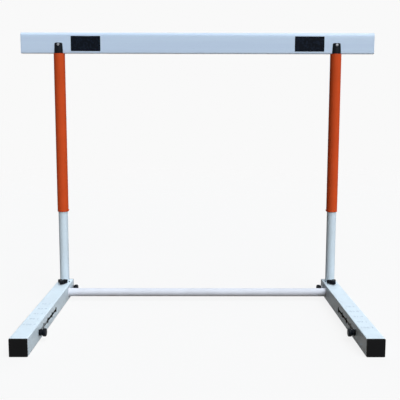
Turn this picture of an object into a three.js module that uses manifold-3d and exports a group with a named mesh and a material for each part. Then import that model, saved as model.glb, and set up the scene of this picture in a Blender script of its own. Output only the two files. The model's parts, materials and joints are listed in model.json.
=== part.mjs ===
// An adjustable track hurdle: two box-section feet with sliding counterweights, telescoping posts and a bar.
// Millimetres, +Z up. X runs along the bar and the feet point towards -Y. The origin lies on the floor,
// below the middle of the bar and half way along the feet.

import * as THREE from 'three';
import Module from 'manifold-3d';
import { mergeVertices } from 'three/addons/utils/BufferGeometryUtils.js';

// Clearances, and how finely round things are drawn
const FIT_GAP = 0.3;
const CUT_OVERRUN = 5;
const TUBE_STEPS = 24;
const KNOB_STEPS = 16;
const SMALL_STEPS = 12;
const CORNER_STEPS = 1;
const BAR_ROUND_STEPS = 4;
const EDGE_STEPS = 2;

// Height settings, measured from the floor to the top of the bar
const LOWEST_HEIGHT = 762;
const HEIGHT_STEP = 76.2;
const SETTING_COUNT = 5;
const REST_SETTING = 2;

// Bar
const BAR_LENGTH = 1200;
const BAR_HEIGHT = 70;
const BAR_THICKNESS = 22;
const BAR_WALL = 2;
const BAR_BOTTOM_RADIUS = 4;
const BAR_CAP_PLATE = 2;
const BAR_CAP_INSERT = 18;
const BAR_CAP_WALL = 2;
const PATCH_LENGTH = 100;
const PATCH_HEIGHT = 50;
const PATCH_THICKNESS = 0.8;
const PATCH_CORNER = 1;
const PATCH_FROM_POST = 42;
const PATCH_ABOVE_BAR_BOTTOM = 7.5;

// Posts: an orange outer tube slides on a white inner tube
const BAR_OVERHANG = 128;
const LOWER_RADIUS = 16;
const LOWER_WALL = 2;
const UPPER_RADIUS = 19;
const UPPER_WALL = 1.5;
const UPPER_LENGTH = 543;
const FIRST_HOLE_DROP = 64.8;
const POST_ABOVE_BUTTON = 18;
const GUIDE_FLANGE = 3;
const GUIDE_INSERT = 8;
const GUIDE_BORE_RADIUS = 5;
const BUSH_LENGTH = 30;

// Spring button inside the top of each inner tube
const BUTTON_RADIUS = 4;
const BUTTON_TRAVEL = 4.6;
const BUTTON_DOME = 1.6;
const BUTTON_FLANGE_RADIUS = 5.5;
const BUTTON_FLANGE = 1;
const LEAF_THICKNESS = 0.8;
const LEAF_WIDTH = 9;
const LEAF_DROP = 38;
const LEAF_BEND_STEPS = 5;

// Forked plug in the top of each outer tube, with the bolt that holds the bar
const STEM_CLEARANCE = 10;
const STEM_WALL = 5;
const STEM_ROOF = 6;
const TONGUE_HEIGHT = 35.5;
const TONGUE_TAPER = 1.6;
const TONGUE_ROUND = 4;
const TONGUE_ROUND_STEPS = 3;
const BOLT_ABOVE_BAR_BOTTOM = 29;
const BOLT_RADIUS = 2.5;
const BOLT_SEAT = 4;
const BOLT_SEAT_RADIUS = 5.2;
const BOLT_HEAD_RADIUS = 4.4;
const BOLT_HEAD = 2.8;
const BOLT_HEX_RADIUS = 1.9;
const BOLT_HEX_DEPTH = 1.6;
const NUT_RADIUS = 4.6;
const NUT_HEX = 3;
const NUT_DOME = 2.4;
const NUT_DOME_RADIUS = 3.2;

// Feet
const FOOT_LENGTH = 650;
const FOOT_SIZE = 50;
const FOOT_WALL = 2;
const FOOT_CORNER = 3;
const POST_SETBACK = 35;
const END_PLUG_FLANGE = 4;
const END_PLUG_BEVEL = 0.6;
const END_PLUG_INSERT = 16;
const END_PLUG_WALL = 3;
const END_PLUG_SPARE = 1.7;

// Crossbar between the feet
const CROSSBAR_RADIUS = 14;
const CROSSBAR_WALL = 2;
const CROSSBAR_FORWARD = 57;
const WELD_BEAD = 4;
const WELD_BEAD_SHARE = 0.4;

// Cast socket inside each foot, which holds the inner tube
const SOCKET_WALL = 6;
const SOCKET_FLOOR = 3;
const SCREW_INWARD = 18;
const SCREW_FORWARD = 12;
const SCREW_RADIUS = 1.6;
const SCREW_LENGTH = 14;
const SCREW_HEAD_RADIUS = 2.8;
const SCREW_HEAD = 1.8;
const SCREW_SLOT = 0.8;
const SCREW_SLOT_DEPTH = 1;

// Three-lobed clamp knob that draws the socket up against the top of the foot
const CLAMP_FORWARD = 43;
const CLAMP_FRONT_WALL = 14;
const CLAMP_BOLT_RADIUS = 4;
const CLAMP_BOLT_REACH = 30;
const CLAMP_BOLT_TIP = 1.5;
const CLAMP_KNOB_RADIUS = 13;
const CLAMP_LOBE = 5.9;
const CLAMP_LOBE_COUNT = 3;
const CLAMP_LOBE_STEPS = 36;
const CLAMP_KNOB_HEIGHT = 11.6;
const CLAMP_KNOB_BEVEL = 1.4;
const CLAMP_HUB_RADIUS = 6.8;
const CLAMP_HUB = 1;
const CLAMP_ROOF = 4;
const WASHER_RADIUS = 10;
const WASHER_THICKNESS = 1.6;
const LEFT_LOBE_TURN = THREE.MathUtils.degToRad(27);
const RIGHT_LOBE_TURN = THREE.MathUtils.degToRad(49);

// Pull plunger that locks each inner tube in its socket
const PLUNGER_TIP_RADIUS = 4;
const PLUNGER_TIP_REACH = 1;
const PLUNGER_SHANK_RADIUS = 3;
const PLUNGER_COLLAR_RADIUS = 5.2;
const PLUNGER_COLLAR = 2;
const PLUNGER_BORE_RADIUS = 5.5;
const PLUNGER_THIN_WALL = 1;
const FERRULE_SLEEVE_RADIUS = 7.5;
const FERRULE_HEX_RADIUS = 9.8;
const FERRULE_HEX = 6;
const FERRULE_ROOF = 1.6;
const HEX_SIDES = 6;
const LOCK_KNOB_RADIUS = 12;
const LOCK_KNOB_NECK_RADIUS = 8.5;
const LOCK_KNOB_LENGTH = 15;
const LOCK_KNOB_ROUND = 4;

// Counterweight inside each foot, its slot and its pull knob
const WEIGHT_FRONT = 43;
const WEIGHT_REAR = 107;
const WEIGHT_BORE_RADIUS = 5.5;
const WEIGHT_BORE_ROOF = 8.7;
const WEIGHT_STOPS = 5;
const STOP_PITCH = 55;
const FRONT_STOP_FROM_END = 128;
const STOP_HOLE_RADIUS = 8.7;
const SLOT_NECK = 7.2;
const PULL_SHANK_RADIUS = 3;
const PULL_HEAD_RADIUS = 5;
const PULL_HEAD = 3;
const PULL_COLLAR_RADIUS = 8.2;
const PULL_COLLAR = 2.7;
const PULL_FLANGE_RADIUS = 9.8;
const PULL_FLANGE = 3;
const PULL_WAIST_RADIUS = 6;
const PULL_WAIST = 6;
const PULL_KNOB_RADIUS = 11.6;
const PULL_KNOB = 9;
const PULL_KNOB_ROUND = 3;
const KNOB_ROOF = 4;

// Compression springs
const SPRING_WIRE = 1;
const SPRING_RADIUS = 4.3;
const SPRING_STEPS = 8;
const SPRING_SIDES = 5;
const WEIGHT_SPRING_LENGTH = 12;
const WEIGHT_SPRING_TURNS = 5;
const PLUNGER_SPRING_TURNS = 3;

// Places worked out from the sizes above. Heights are from the floor, and side pieces are placed from
// the axis of their post.
const REST_HEIGHT = LOWEST_HEIGHT + REST_SETTING * HEIGHT_STEP;
const BAR_BOTTOM = REST_HEIGHT - BAR_HEIGHT;
const UPPER_TOP = BAR_BOTTOM - FIT_GAP;
const UPPER_BOTTOM = UPPER_TOP - UPPER_LENGTH;
const UPPER_INNER_RADIUS = UPPER_RADIUS - UPPER_WALL;
const LOWER_INNER_RADIUS = LOWER_RADIUS - LOWER_WALL;
const BUTTON_HEIGHT = BAR_BOTTOM - FIRST_HOLE_DROP - REST_SETTING * HEIGHT_STEP;
const LOWER_TOP = BUTTON_HEIGHT + POST_ABOVE_BUTTON;
const POST_X = BAR_LENGTH / 2 - BAR_OVERHANG;
const POST_Y = FOOT_LENGTH / 2 - POST_SETBACK;
const FOOT_FRONT = POST_SETBACK - FOOT_LENGTH;
const FOOT_INSIDE = FOOT_SIZE - 2 * FOOT_WALL;
const FOOT_AXIS = FOOT_SIZE / 2;
const FOOT_INNER_CORNER = FOOT_CORNER - FOOT_WALL;
const INSERT_SIZE = FOOT_INSIDE - 2 * FIT_GAP;
const INSERT_CORNER = FOOT_INNER_CORNER + FIT_GAP;
const SOCKET_REAR = LOWER_RADIUS + FIT_GAP + SOCKET_WALL;
const SOCKET_FRONT = -(CLAMP_FORWARD + CLAMP_FRONT_WALL);
const SOCKET_BORE_BOTTOM = FOOT_WALL + FIT_GAP + SOCKET_FLOOR;
const REAR_PLUG_INSERT = POST_SETBACK - END_PLUG_FLANGE - SOCKET_REAR - END_PLUG_SPARE;
const WALL_FACE = FOOT_SIZE / 2;
const WALL_OUTSIDE = WALL_FACE + FIT_GAP;
const FRONT_STOP = FOOT_FRONT + FRONT_STOP_FROM_END;
const STOP_SPAN = (WEIGHT_STOPS - 1) * STOP_PITCH;

const X_AXIS = new THREE.Vector3(1, 0, 0);
const Y_AXIS = new THREE.Vector3(0, 1, 0);
const Z_AXIS = new THREE.Vector3(0, 0, 1);

const wasm = await Module();
wasm.setup();

function finish(color, roughness, metalness) {
  return new THREE.MeshStandardMaterial({ color, roughness, metalness });
}

const whitePaint = finish(0xe4eaf0, 0.45, 0.1);
const orangePaint = finish(0xc8481e, 0.5, 0.1);
const barPlastic = finish(0xc8d6ea, 0.4, 0);
const blackPlastic = finish(0x141517, 0.5, 0);
const patchBlack = finish(0x0c0c0a, 0.7, 0);
const brightSteel = finish(0xb9bcc0, 0.3, 0.9);
const darkSteel = finish(0x3a3c40, 0.45, 0.8);
const castIron = finish(0x4a4c4f, 0.75, 0.6);
const greyIron = finish(0x9ea6ac, 0.6, 0.1);

// Solids

function solid(geometry) {
  const bare = geometry.clone();
  bare.deleteAttribute('normal');
  bare.deleteAttribute('uv');
  const merged = mergeVertices(bare);
  const corners = merged.index.array;
  const kept = [];
  for (let i = 0; i < corners.length; i += 3) {
    const [a, b, c] = [corners[i], corners[i + 1], corners[i + 2]];
    if (a !== b && b !== c && c !== a) kept.push(a, b, c);
  }
  const vertProperties = new Float32Array(merged.attributes.position.array);
  return new wasm.Manifold(new wasm.Mesh({ numProp: 3, vertProperties, triVerts: new Uint32Array(kept) }));
}

function shell(body) {
  const { vertProperties, triVerts } = body.getMesh();
  const geometry = new THREE.BufferGeometry();
  geometry.setAttribute('position', new THREE.BufferAttribute(vertProperties, 3));
  geometry.setIndex(new THREE.BufferAttribute(triVerts, 1));
  geometry.computeVertexNormals();
  return geometry;
}

// A solid of revolution: each profile point is a radius and a distance along the axis, anticlockwise.
function turned(axis, profile, steps = SMALL_STEPS) {
  const points = profile.map(([radius, along]) => new THREE.Vector2(radius, along));
  const geometry = new THREE.LatheGeometry(points, steps);
  return solid(geometry.applyQuaternion(new THREE.Quaternion().setFromUnitVectors(Y_AXIS, axis)));
}

function rod(axis, radius, from, to, steps) {
  return turned(axis, [[0, from], [radius, from], [radius, to], [0, to]], steps);
}

function ring(axis, inner, outer, from, to, steps) {
  return turned(axis, [[inner, from], [outer, from], [outer, to], [inner, to], [inner, from]], steps);
}

// A shape drawn in the two directions after the axis, in the order X, Y, Z, X, Y, and extruded along it
function prism(axis, shape, from, to, curveSegments = CORNER_STEPS) {
  const settings = { depth: to - from, bevelEnabled: false, curveSegments };
  const geometry = new THREE.ExtrudeGeometry(shape, settings);
  geometry.translate(0, 0, from);
  return solid(geometry.applyMatrix4(basisAlong(axis)));
}

function ordered(a, b) {
  return [Math.min(a, b), Math.max(a, b)];
}

function basisAlong(axis) {
  if (axis === X_AXIS) return new THREE.Matrix4().makeBasis(Y_AXIS, Z_AXIS, X_AXIS);
  if (axis === Y_AXIS) return new THREE.Matrix4().makeBasis(Z_AXIS, X_AXIS, Y_AXIS);
  return new THREE.Matrix4();
}

function block(x, y, z) {
  const geometry = new THREE.BoxGeometry(x[1] - x[0], y[1] - y[0], z[1] - z[0]);
  return solid(geometry.translate((x[0] + x[1]) / 2, (y[0] + y[1]) / 2, (z[0] + z[1]) / 2));
}

function roundedRectangle(width, height, radius) {
  const [w, h] = [width / 2, height / 2];
  const shape = new THREE.Shape();
  shape.moveTo(-w + radius, -h);
  shape.lineTo(w - radius, -h);
  shape.absarc(w - radius, -h + radius, radius, -Math.PI / 2, 0);
  shape.lineTo(w, h - radius);
  shape.absarc(w - radius, h - radius, radius, 0, Math.PI / 2);
  shape.lineTo(-w + radius, h);
  shape.absarc(-w + radius, h - radius, radius, Math.PI / 2, Math.PI);
  shape.lineTo(-w, -h + radius);
  shape.absarc(-w + radius, -h + radius, radius, Math.PI, 1.5 * Math.PI);
  return shape;
}

function cut(body, cutters) {
  return cutters.reduce((left, cutter) => left.subtract(cutter), body);
}

// Points on a quarter circle of a turned profile, from its widest radius towards the axis
function roundedEdge(radius, along, round, steps) {
  return Array.from({ length: steps + 1 }, (_, i) => {
    const angle = (i / steps) * (Math.PI / 2);
    return [radius - round + round * Math.cos(angle), along - round + round * Math.sin(angle)];
  });
}

// A round wire wound along an axis, with flat ends
function coil(axis, from, to, turns) {
  const count = turns * SPRING_STEPS;
  const [start, rise] = [from + SPRING_WIRE / 2, to - from - SPRING_WIRE];
  const positions = [];
  const faces = [];
  for (let i = 0; i <= count; i += 1) {
    const turn = (i / SPRING_STEPS) * 2 * Math.PI;
    for (let j = 0; j < SPRING_SIDES; j += 1) {
      const around = (j / SPRING_SIDES) * 2 * Math.PI;
      const radius = SPRING_RADIUS + (SPRING_WIRE / 2) * Math.cos(around);
      const along = start + (rise * i) / count + (SPRING_WIRE / 2) * Math.sin(around);
      positions.push(radius * Math.sin(turn), along, radius * Math.cos(turn));
    }
  }
  for (let i = 0; i < count; i += 1) {
    for (let j = 0; j < SPRING_SIDES; j += 1) {
      const [a, b] = [i * SPRING_SIDES + j, i * SPRING_SIDES + ((j + 1) % SPRING_SIDES)];
      const [c, d] = [a + SPRING_SIDES, b + SPRING_SIDES];
      faces.push(a, c, b, b, c, d);
    }
  }
  const last = count * SPRING_SIDES;
  for (let j = 1; j < SPRING_SIDES - 1; j += 1) {
    faces.push(0, j, j + 1, last, last + j + 1, last + j);
  }
  const geometry = new THREE.BufferGeometry();
  geometry.setAttribute('position', new THREE.Float32BufferAttribute(positions, 3));
  geometry.setIndex(faces);
  console.log(`spring: least gap between turns ${(rise / turns - SPRING_WIRE).toFixed(2)} mm`);
  return solid(geometry.applyQuaternion(new THREE.Quaternion().setFromUnitVectors(Y_AXIS, axis)));
}

const hurdle = new THREE.Group();

function add(parent, name, body, material) {
  const mesh = new THREE.Mesh(shell(body), material);
  mesh.name = name;
  parent.add(mesh);
}

// Bar

function barOutline(inset) {
  const half = BAR_THICKNESS / 2 - inset;
  const corner = Math.max(BAR_BOTTOM_RADIUS - inset, FIT_GAP);
  const top = BAR_HEIGHT - BAR_THICKNESS / 2;
  const shape = new THREE.Shape();
  shape.moveTo(-half + corner, inset);
  shape.lineTo(half - corner, inset);
  shape.absarc(half - corner, inset + corner, corner, -Math.PI / 2, 0);
  shape.lineTo(half, top);
  shape.absarc(0, top, half, 0, Math.PI);
  shape.lineTo(-half, inset + corner);
  shape.absarc(-half + corner, inset + corner, corner, Math.PI, 1.5 * Math.PI);
  return shape;
}

function barSlice(inset, from, to) {
  return prism(X_AXIS, barOutline(inset), from, to, BAR_ROUND_STEPS).translate([0, 0, BAR_BOTTOM]);
}

function bar() {
  const half = BAR_LENGTH / 2 - BAR_CAP_PLATE - FIT_GAP;
  let body = barSlice(0, -half, half).subtract(barSlice(BAR_WALL, -half - CUT_OVERRUN, half + CUT_OVERRUN));
  for (const side of [-1, 1]) {
    const hole = rod(Y_AXIS, BOLT_RADIUS + FIT_GAP, -BAR_THICKNESS, BAR_THICKNESS);
    body = body.subtract(hole.translate([side * POST_X, 0, boltHeight]));
  }
  return body;
}

function barCap(side) {
  const outer = side * (BAR_LENGTH / 2);
  const inner = outer - side * BAR_CAP_PLATE;
  const tip = inner - side * BAR_CAP_INSERT;
  const root = (outer + inner) / 2;
  const plate = barSlice(0, ...ordered(outer, inner));
  const insert = barSlice(BAR_WALL + FIT_GAP, ...ordered(root, tip));
  const hollow = barSlice(BAR_WALL + FIT_GAP + BAR_CAP_WALL, ...ordered(inner, tip - side * CUT_OVERRUN));
  return plate.add(insert.subtract(hollow));
}

function barPatch(side) {
  const middle = POST_X - PATCH_FROM_POST - PATCH_LENGTH / 2;
  const face = -BAR_THICKNESS / 2 - FIT_GAP;
  const outline = roundedRectangle(PATCH_HEIGHT, PATCH_LENGTH, PATCH_CORNER);
  const centre = BAR_BOTTOM + PATCH_ABOVE_BAR_BOTTOM + PATCH_HEIGHT / 2;
  return prism(Y_AXIS, outline, face - PATCH_THICKNESS, face).translate([side * middle, 0, centre]);
}

// Posts

function lowerPost(inward) {
  const bottom = SOCKET_BORE_BOTTOM + FIT_GAP;
  const reach = LOWER_RADIUS + CUT_OVERRUN;
  const tube = ring(Z_AXIS, LOWER_INNER_RADIUS, LOWER_RADIUS, bottom, LOWER_TOP, TUBE_STEPS);
  const buttonHole = rod(inward, BUTTON_RADIUS + FIT_GAP, 0, reach).translate([0, 0, BUTTON_HEIGHT]);
  const pinHole = rod(inward, PLUNGER_TIP_RADIUS + FIT_GAP, 0, reach).translate([0, 0, FOOT_AXIS]);
  return cut(tube, [buttonHole, pinHole]);
}

function upperTube(inward) {
  let tube = ring(Z_AXIS, UPPER_INNER_RADIUS, UPPER_RADIUS, UPPER_BOTTOM, UPPER_TOP, TUBE_STEPS);
  for (let i = 0; i < SETTING_COUNT; i += 1) {
    const hole = rod(inward, BUTTON_RADIUS + FIT_GAP, 0, UPPER_RADIUS + CUT_OVERRUN);
    tube = tube.subtract(hole.translate([0, 0, BAR_BOTTOM - FIRST_HOLE_DROP - i * HEIGHT_STEP]));
  }
  return tube;
}

function guideBush() {
  const [inner, outer] = [LOWER_RADIUS + FIT_GAP, UPPER_INNER_RADIUS - FIT_GAP];
  return ring(Z_AXIS, inner, outer, UPPER_BOTTOM, UPPER_BOTTOM + BUSH_LENGTH, TUBE_STEPS);
}

function postGuide() {
  const top = LOWER_TOP + FIT_GAP + GUIDE_FLANGE;
  const [insert, flange] = [LOWER_INNER_RADIUS - FIT_GAP, UPPER_INNER_RADIUS - FIT_GAP];
  return turned(Z_AXIS, [
    [GUIDE_BORE_RADIUS, LOWER_TOP - GUIDE_INSERT],
    [insert, LOWER_TOP - GUIDE_INSERT],
    [insert, LOWER_TOP + FIT_GAP],
    [flange, LOWER_TOP + FIT_GAP],
    [flange, top],
    [GUIDE_BORE_RADIUS, top],
    [GUIDE_BORE_RADIUS, LOWER_TOP - GUIDE_INSERT],
  ], TUBE_STEPS);
}

// The flange's rim stays inside the round wall of the tube when the button is out
const flangeClearance = BUTTON_TRAVEL + FIT_GAP;
const buttonFlangeFace = Math.sqrt(LOWER_INNER_RADIUS ** 2 - BUTTON_FLANGE_RADIUS ** 2) - flangeClearance;
const buttonBack = buttonFlangeFace - BUTTON_FLANGE;

function heightButton(inward) {
  const tip = UPPER_INNER_RADIUS - 2 * FIT_GAP;
  return turned(inward, [
    [0, buttonBack],
    [BUTTON_FLANGE_RADIUS, buttonBack],
    [BUTTON_FLANGE_RADIUS, buttonFlangeFace],
    [BUTTON_RADIUS, buttonFlangeFace],
    ...roundedEdge(BUTTON_RADIUS, tip, BUTTON_DOME, EDGE_STEPS),
    [0, tip],
  ]).translate([0, 0, BUTTON_HEIGHT]);
}

// A strip bent into a U: one leg carries the button, the other bears on the far side of the tube
function buttonSpring(inward) {
  const near = buttonBack - FIT_GAP;
  const far = -Math.sqrt((LOWER_INNER_RADIUS - FIT_GAP) ** 2 - (LEAF_WIDTH / 2) ** 2);
  const outer = (near - far) / 2;
  const inner = outer - LEAF_THICKNESS;
  const middle = (near + far) / 2;
  const shape = new THREE.Shape();
  shape.moveTo(BUTTON_RADIUS, near);
  shape.lineTo(BUTTON_RADIUS, near - LEAF_THICKNESS);
  shape.lineTo(-LEAF_DROP, middle + inner);
  shape.absarc(-LEAF_DROP, middle, inner, Math.PI / 2, 1.5 * Math.PI, false);
  shape.lineTo(0, far + LEAF_THICKNESS);
  shape.lineTo(0, far);
  shape.lineTo(-LEAF_DROP, middle - outer);
  shape.absarc(-LEAF_DROP, middle, outer, 1.5 * Math.PI, Math.PI / 2, true);
  const points = shape.getPoints(LEAF_BEND_STEPS).map((p) => new THREE.Vector2(p.x, p.y * inward.x));
  const strip = prism(Y_AXIS, new THREE.Shape(points), -LEAF_WIDTH / 2, LEAF_WIDTH / 2);
  return strip.translate([0, 0, BUTTON_HEIGHT]);
}

// Top plug: a stem inside the tube and two tongues that grip the bar
const tongueTop = BAR_BOTTOM + TONGUE_HEIGHT;
const boltHeight = BAR_BOTTOM + BOLT_ABOVE_BAR_BOTTOM;
const barGrip = BAR_THICKNESS / 2 + FIT_GAP;
const boltSeat = barGrip + BOLT_SEAT;

function topPlug() {
  const stemRadius = UPPER_INNER_RADIUS - FIT_GAP;
  const stemLength = FIRST_HOLE_DROP - POST_ABOVE_BUTTON - GUIDE_FLANGE - STEM_CLEARANCE;
  const stemBottom = UPPER_TOP - stemLength;
  const topRadius = UPPER_RADIUS - TONGUE_TAPER;
  const stem = rod(Z_AXIS, stemRadius, stemBottom, BAR_BOTTOM + TONGUE_TAPER, TUBE_STEPS);
  const hollow = rod(Z_AXIS, stemRadius - STEM_WALL, stemBottom - CUT_OVERRUN, UPPER_TOP - STEM_ROOF);
  const tongues = turned(Z_AXIS, [
    [0, BAR_BOTTOM],
    [UPPER_RADIUS, BAR_BOTTOM],
    ...roundedEdge(topRadius, tongueTop, TONGUE_ROUND, TONGUE_ROUND_STEPS),
    [0, tongueTop],
  ], TUBE_STEPS);
  const reach = UPPER_RADIUS + CUT_OVERRUN;
  const slotHeights = [BAR_BOTTOM - FIT_GAP, tongueTop + CUT_OVERRUN];
  const barSlot = block([-reach, reach], [-barGrip, barGrip], slotHeights);
  const hole = rod(Y_AXIS, BOLT_RADIUS + FIT_GAP, -reach, reach).translate([0, 0, boltHeight]);
  const frontSeat = rod(Y_AXIS, BOLT_SEAT_RADIUS, -reach, -boltSeat).translate([0, 0, boltHeight]);
  const rearSeat = rod(Y_AXIS, BOLT_SEAT_RADIUS, boltSeat, reach).translate([0, 0, boltHeight]);
  return cut(stem.add(tongues), [hollow, barSlot, hole, frontSeat, rearSeat]);
}

function barScrew() {
  const seat = -boltSeat - FIT_GAP;
  const head = seat - BOLT_HEAD;
  const end = boltSeat + NUT_HEX;
  const body = turned(Y_AXIS, [
    [0, head],
    [BOLT_HEAD_RADIUS - BOLT_HEAD / 2, head],
    [BOLT_HEAD_RADIUS, head + BOLT_HEAD / 2],
    [BOLT_HEAD_RADIUS, seat],
    [BOLT_RADIUS, seat],
    [BOLT_RADIUS, end],
    [0, end],
  ]);
  const socket = rod(Y_AXIS, BOLT_HEX_RADIUS, head - CUT_OVERRUN, head + BOLT_HEX_DEPTH, HEX_SIDES);
  return body.subtract(socket).translate([0, 0, boltHeight]);
}

function barNut() {
  const seat = boltSeat + FIT_GAP;
  const face = seat + NUT_HEX;
  const dome = face + NUT_DOME;
  const hex = rod(Y_AXIS, NUT_RADIUS, seat, face, HEX_SIDES);
  const cap = turned(Y_AXIS, [
    [0, seat + NUT_HEX / 2],
    [NUT_DOME_RADIUS, seat + NUT_HEX / 2],
    ...roundedEdge(NUT_DOME_RADIUS, dome, NUT_DOME, EDGE_STEPS),
    [0, dome],
  ]);
  const bore = rod(Y_AXIS, BOLT_RADIUS + FIT_GAP, seat - CUT_OVERRUN, face + FIT_GAP);
  return hex.add(cap).subtract(bore).translate([0, 0, boltHeight]);
}

// Feet

function footSlice(size, corner, from, to) {
  return prism(Y_AXIS, roundedRectangle(size, size, corner), from, to).translate([0, 0, FOOT_AXIS]);
}

// One round hole for each stop, joined by a neck that the plunger's shank slides along
function stopSlot(inward) {
  const [from, to] = [WALL_FACE - CUT_OVERRUN, WALL_FACE + CUT_OVERRUN];
  const neck = [FOOT_AXIS - SLOT_NECK / 2, FOOT_AXIS + SLOT_NECK / 2];
  let slot = block(ordered(inward.x * from, inward.x * to), [FRONT_STOP, FRONT_STOP + STOP_SPAN], neck);
  for (let i = 0; i < WEIGHT_STOPS; i += 1) {
    const hole = rod(inward, STOP_HOLE_RADIUS, from, to);
    slot = slot.add(hole.translate([0, FRONT_STOP + i * STOP_PITCH, FOOT_AXIS]));
  }
  return slot;
}

const CLAMP_PLACE = [0, -CLAMP_FORWARD, 0];

function screwPlace(inward) {
  return [inward.x * SCREW_INWARD, -SCREW_FORWARD, 0];
}

function foot(inward) {
  const [from, to] = [FOOT_FRONT + END_PLUG_FLANGE + FIT_GAP, POST_SETBACK - END_PLUG_FLANGE - FIT_GAP];
  const tube = footSlice(FOOT_SIZE, FOOT_CORNER, from, to);
  const inside = footSlice(FOOT_INSIDE, FOOT_INNER_CORNER, from - CUT_OVERRUN, to + CUT_OVERRUN);
  const above = FOOT_SIZE + CUT_OVERRUN;
  const postHole = rod(Z_AXIS, LOWER_RADIUS + FIT_GAP, FOOT_AXIS, above, TUBE_STEPS);
  const boltHole = rod(Z_AXIS, CLAMP_BOLT_RADIUS + FIT_GAP, FOOT_AXIS, above).translate(CLAMP_PLACE);
  const screwHole = rod(Z_AXIS, SCREW_RADIUS + FIT_GAP, FOOT_AXIS, above).translate(screwPlace(inward));
  const plungerHole = rod(inward, FERRULE_SLEEVE_RADIUS + FIT_GAP, 0, above).translate([0, 0, FOOT_AXIS]);
  return cut(tube, [inside, postHole, boltHole, screwHole, plungerHole, stopSlot(inward)]);
}

function endPlug(face, inwards, insertLength) {
  const faceSize = FOOT_SIZE - 2 * FIT_GAP - 2 * END_PLUG_BEVEL;
  const outline = roundedRectangle(faceSize, faceSize, FOOT_CORNER);
  const flange = new THREE.ExtrudeGeometry(outline, {
    depth: END_PLUG_FLANGE - 2 * END_PLUG_BEVEL,
    bevelSize: END_PLUG_BEVEL,
    bevelThickness: END_PLUG_BEVEL,
    bevelSegments: 1,
    curveSegments: CORNER_STEPS,
  });
  flange.translate(0, 0, Math.min(face, face + inwards * END_PLUG_FLANGE) + END_PLUG_BEVEL);
  const plate = solid(flange.applyMatrix4(basisAlong(Y_AXIS))).translate([0, 0, FOOT_AXIS]);
  const root = face + (inwards * END_PLUG_FLANGE) / 2;
  const tip = face + inwards * (END_PLUG_FLANGE + insertLength);
  const mouth = tip + inwards * CUT_OVERRUN;
  const floor = face + inwards * END_PLUG_FLANGE;
  const insert = footSlice(INSERT_SIZE, INSERT_CORNER, ...ordered(root, tip));
  const hollow = footSlice(INSERT_SIZE - 2 * END_PLUG_WALL, INSERT_CORNER, ...ordered(floor, mouth));
  return plate.add(insert.subtract(hollow));
}

function crossbar() {
  const half = POST_X - WALL_OUTSIDE;
  const inner = CROSSBAR_RADIUS - CROSSBAR_WALL;
  const bead = CROSSBAR_RADIUS + WELD_BEAD * WELD_BEAD_SHARE;
  const tube = turned(X_AXIS, [
    [inner, -half],
    [CROSSBAR_RADIUS + WELD_BEAD, -half],
    [bead, -half + WELD_BEAD * WELD_BEAD_SHARE],
    [CROSSBAR_RADIUS, -half + WELD_BEAD],
    [CROSSBAR_RADIUS, half - WELD_BEAD],
    [bead, half - WELD_BEAD * WELD_BEAD_SHARE],
    [CROSSBAR_RADIUS + WELD_BEAD, half],
    [inner, half],
    [inner, -half],
  ], TUBE_STEPS);
  return tube.translate([0, -CROSSBAR_FORWARD, FOOT_AXIS]);
}

// Socket, clamp and plunger at the foot of each post

const ferruleEnd = WALL_OUTSIDE + FERRULE_HEX;
const sleeveTip = LOWER_RADIUS + FIT_GAP + PLUNGER_THIN_WALL;

function postSocket(inward) {
  const body = footSlice(INSERT_SIZE, INSERT_CORNER, SOCKET_FRONT, SOCKET_REAR);
  const above = FOOT_SIZE + CUT_OVERRUN;
  const bore = rod(Z_AXIS, LOWER_RADIUS + FIT_GAP, SOCKET_BORE_BOTTOM, above, TUBE_STEPS);
  const boltTip = FOOT_SIZE - CLAMP_BOLT_REACH - FIT_GAP;
  const boltHole = rod(Z_AXIS, CLAMP_BOLT_RADIUS + FIT_GAP, boltTip, above).translate(CLAMP_PLACE);
  const screwTip = FOOT_SIZE - SCREW_LENGTH - FIT_GAP;
  const screwHole = rod(Z_AXIS, SCREW_RADIUS + FIT_GAP, screwTip, above).translate(screwPlace(inward));
  const pinHole = rod(inward, PLUNGER_TIP_RADIUS + FIT_GAP, 0, WALL_FACE).translate([0, 0, FOOT_AXIS]);
  const sleeveHole = rod(inward, FERRULE_SLEEVE_RADIUS + FIT_GAP, sleeveTip, WALL_FACE);
  return cut(body, [bore, boltHole, screwHole, pinHole, sleeveHole.translate([0, 0, FOOT_AXIS])]);
}

function socketScrew(inward) {
  const seat = FOOT_SIZE + FIT_GAP;
  const top = seat + SCREW_HEAD;
  const body = turned(Z_AXIS, [
    [0, FOOT_SIZE - SCREW_LENGTH],
    [SCREW_RADIUS, FOOT_SIZE - SCREW_LENGTH],
    [SCREW_RADIUS, seat],
    [SCREW_HEAD_RADIUS, seat],
    ...roundedEdge(SCREW_HEAD_RADIUS, top, SCREW_HEAD / 2, EDGE_STEPS),
    [0, top],
  ]);
  const slot = block(
    [-SCREW_HEAD_RADIUS - CUT_OVERRUN, SCREW_HEAD_RADIUS + CUT_OVERRUN],
    [-SCREW_SLOT / 2, SCREW_SLOT / 2],
    [top - SCREW_SLOT_DEPTH, top + CUT_OVERRUN],
  );
  return body.subtract(slot).translate(screwPlace(inward));
}

const washerBottom = FOOT_SIZE + FIT_GAP;
const washerTop = washerBottom + WASHER_THICKNESS;
const knobBottom = washerTop + FIT_GAP;
const knobTop = knobBottom + CLAMP_HUB + CLAMP_KNOB_HEIGHT;

function clampWasher() {
  const bore = CLAMP_BOLT_RADIUS + FIT_GAP;
  return ring(Z_AXIS, bore, WASHER_RADIUS, washerBottom, washerTop).translate(CLAMP_PLACE);
}

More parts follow.
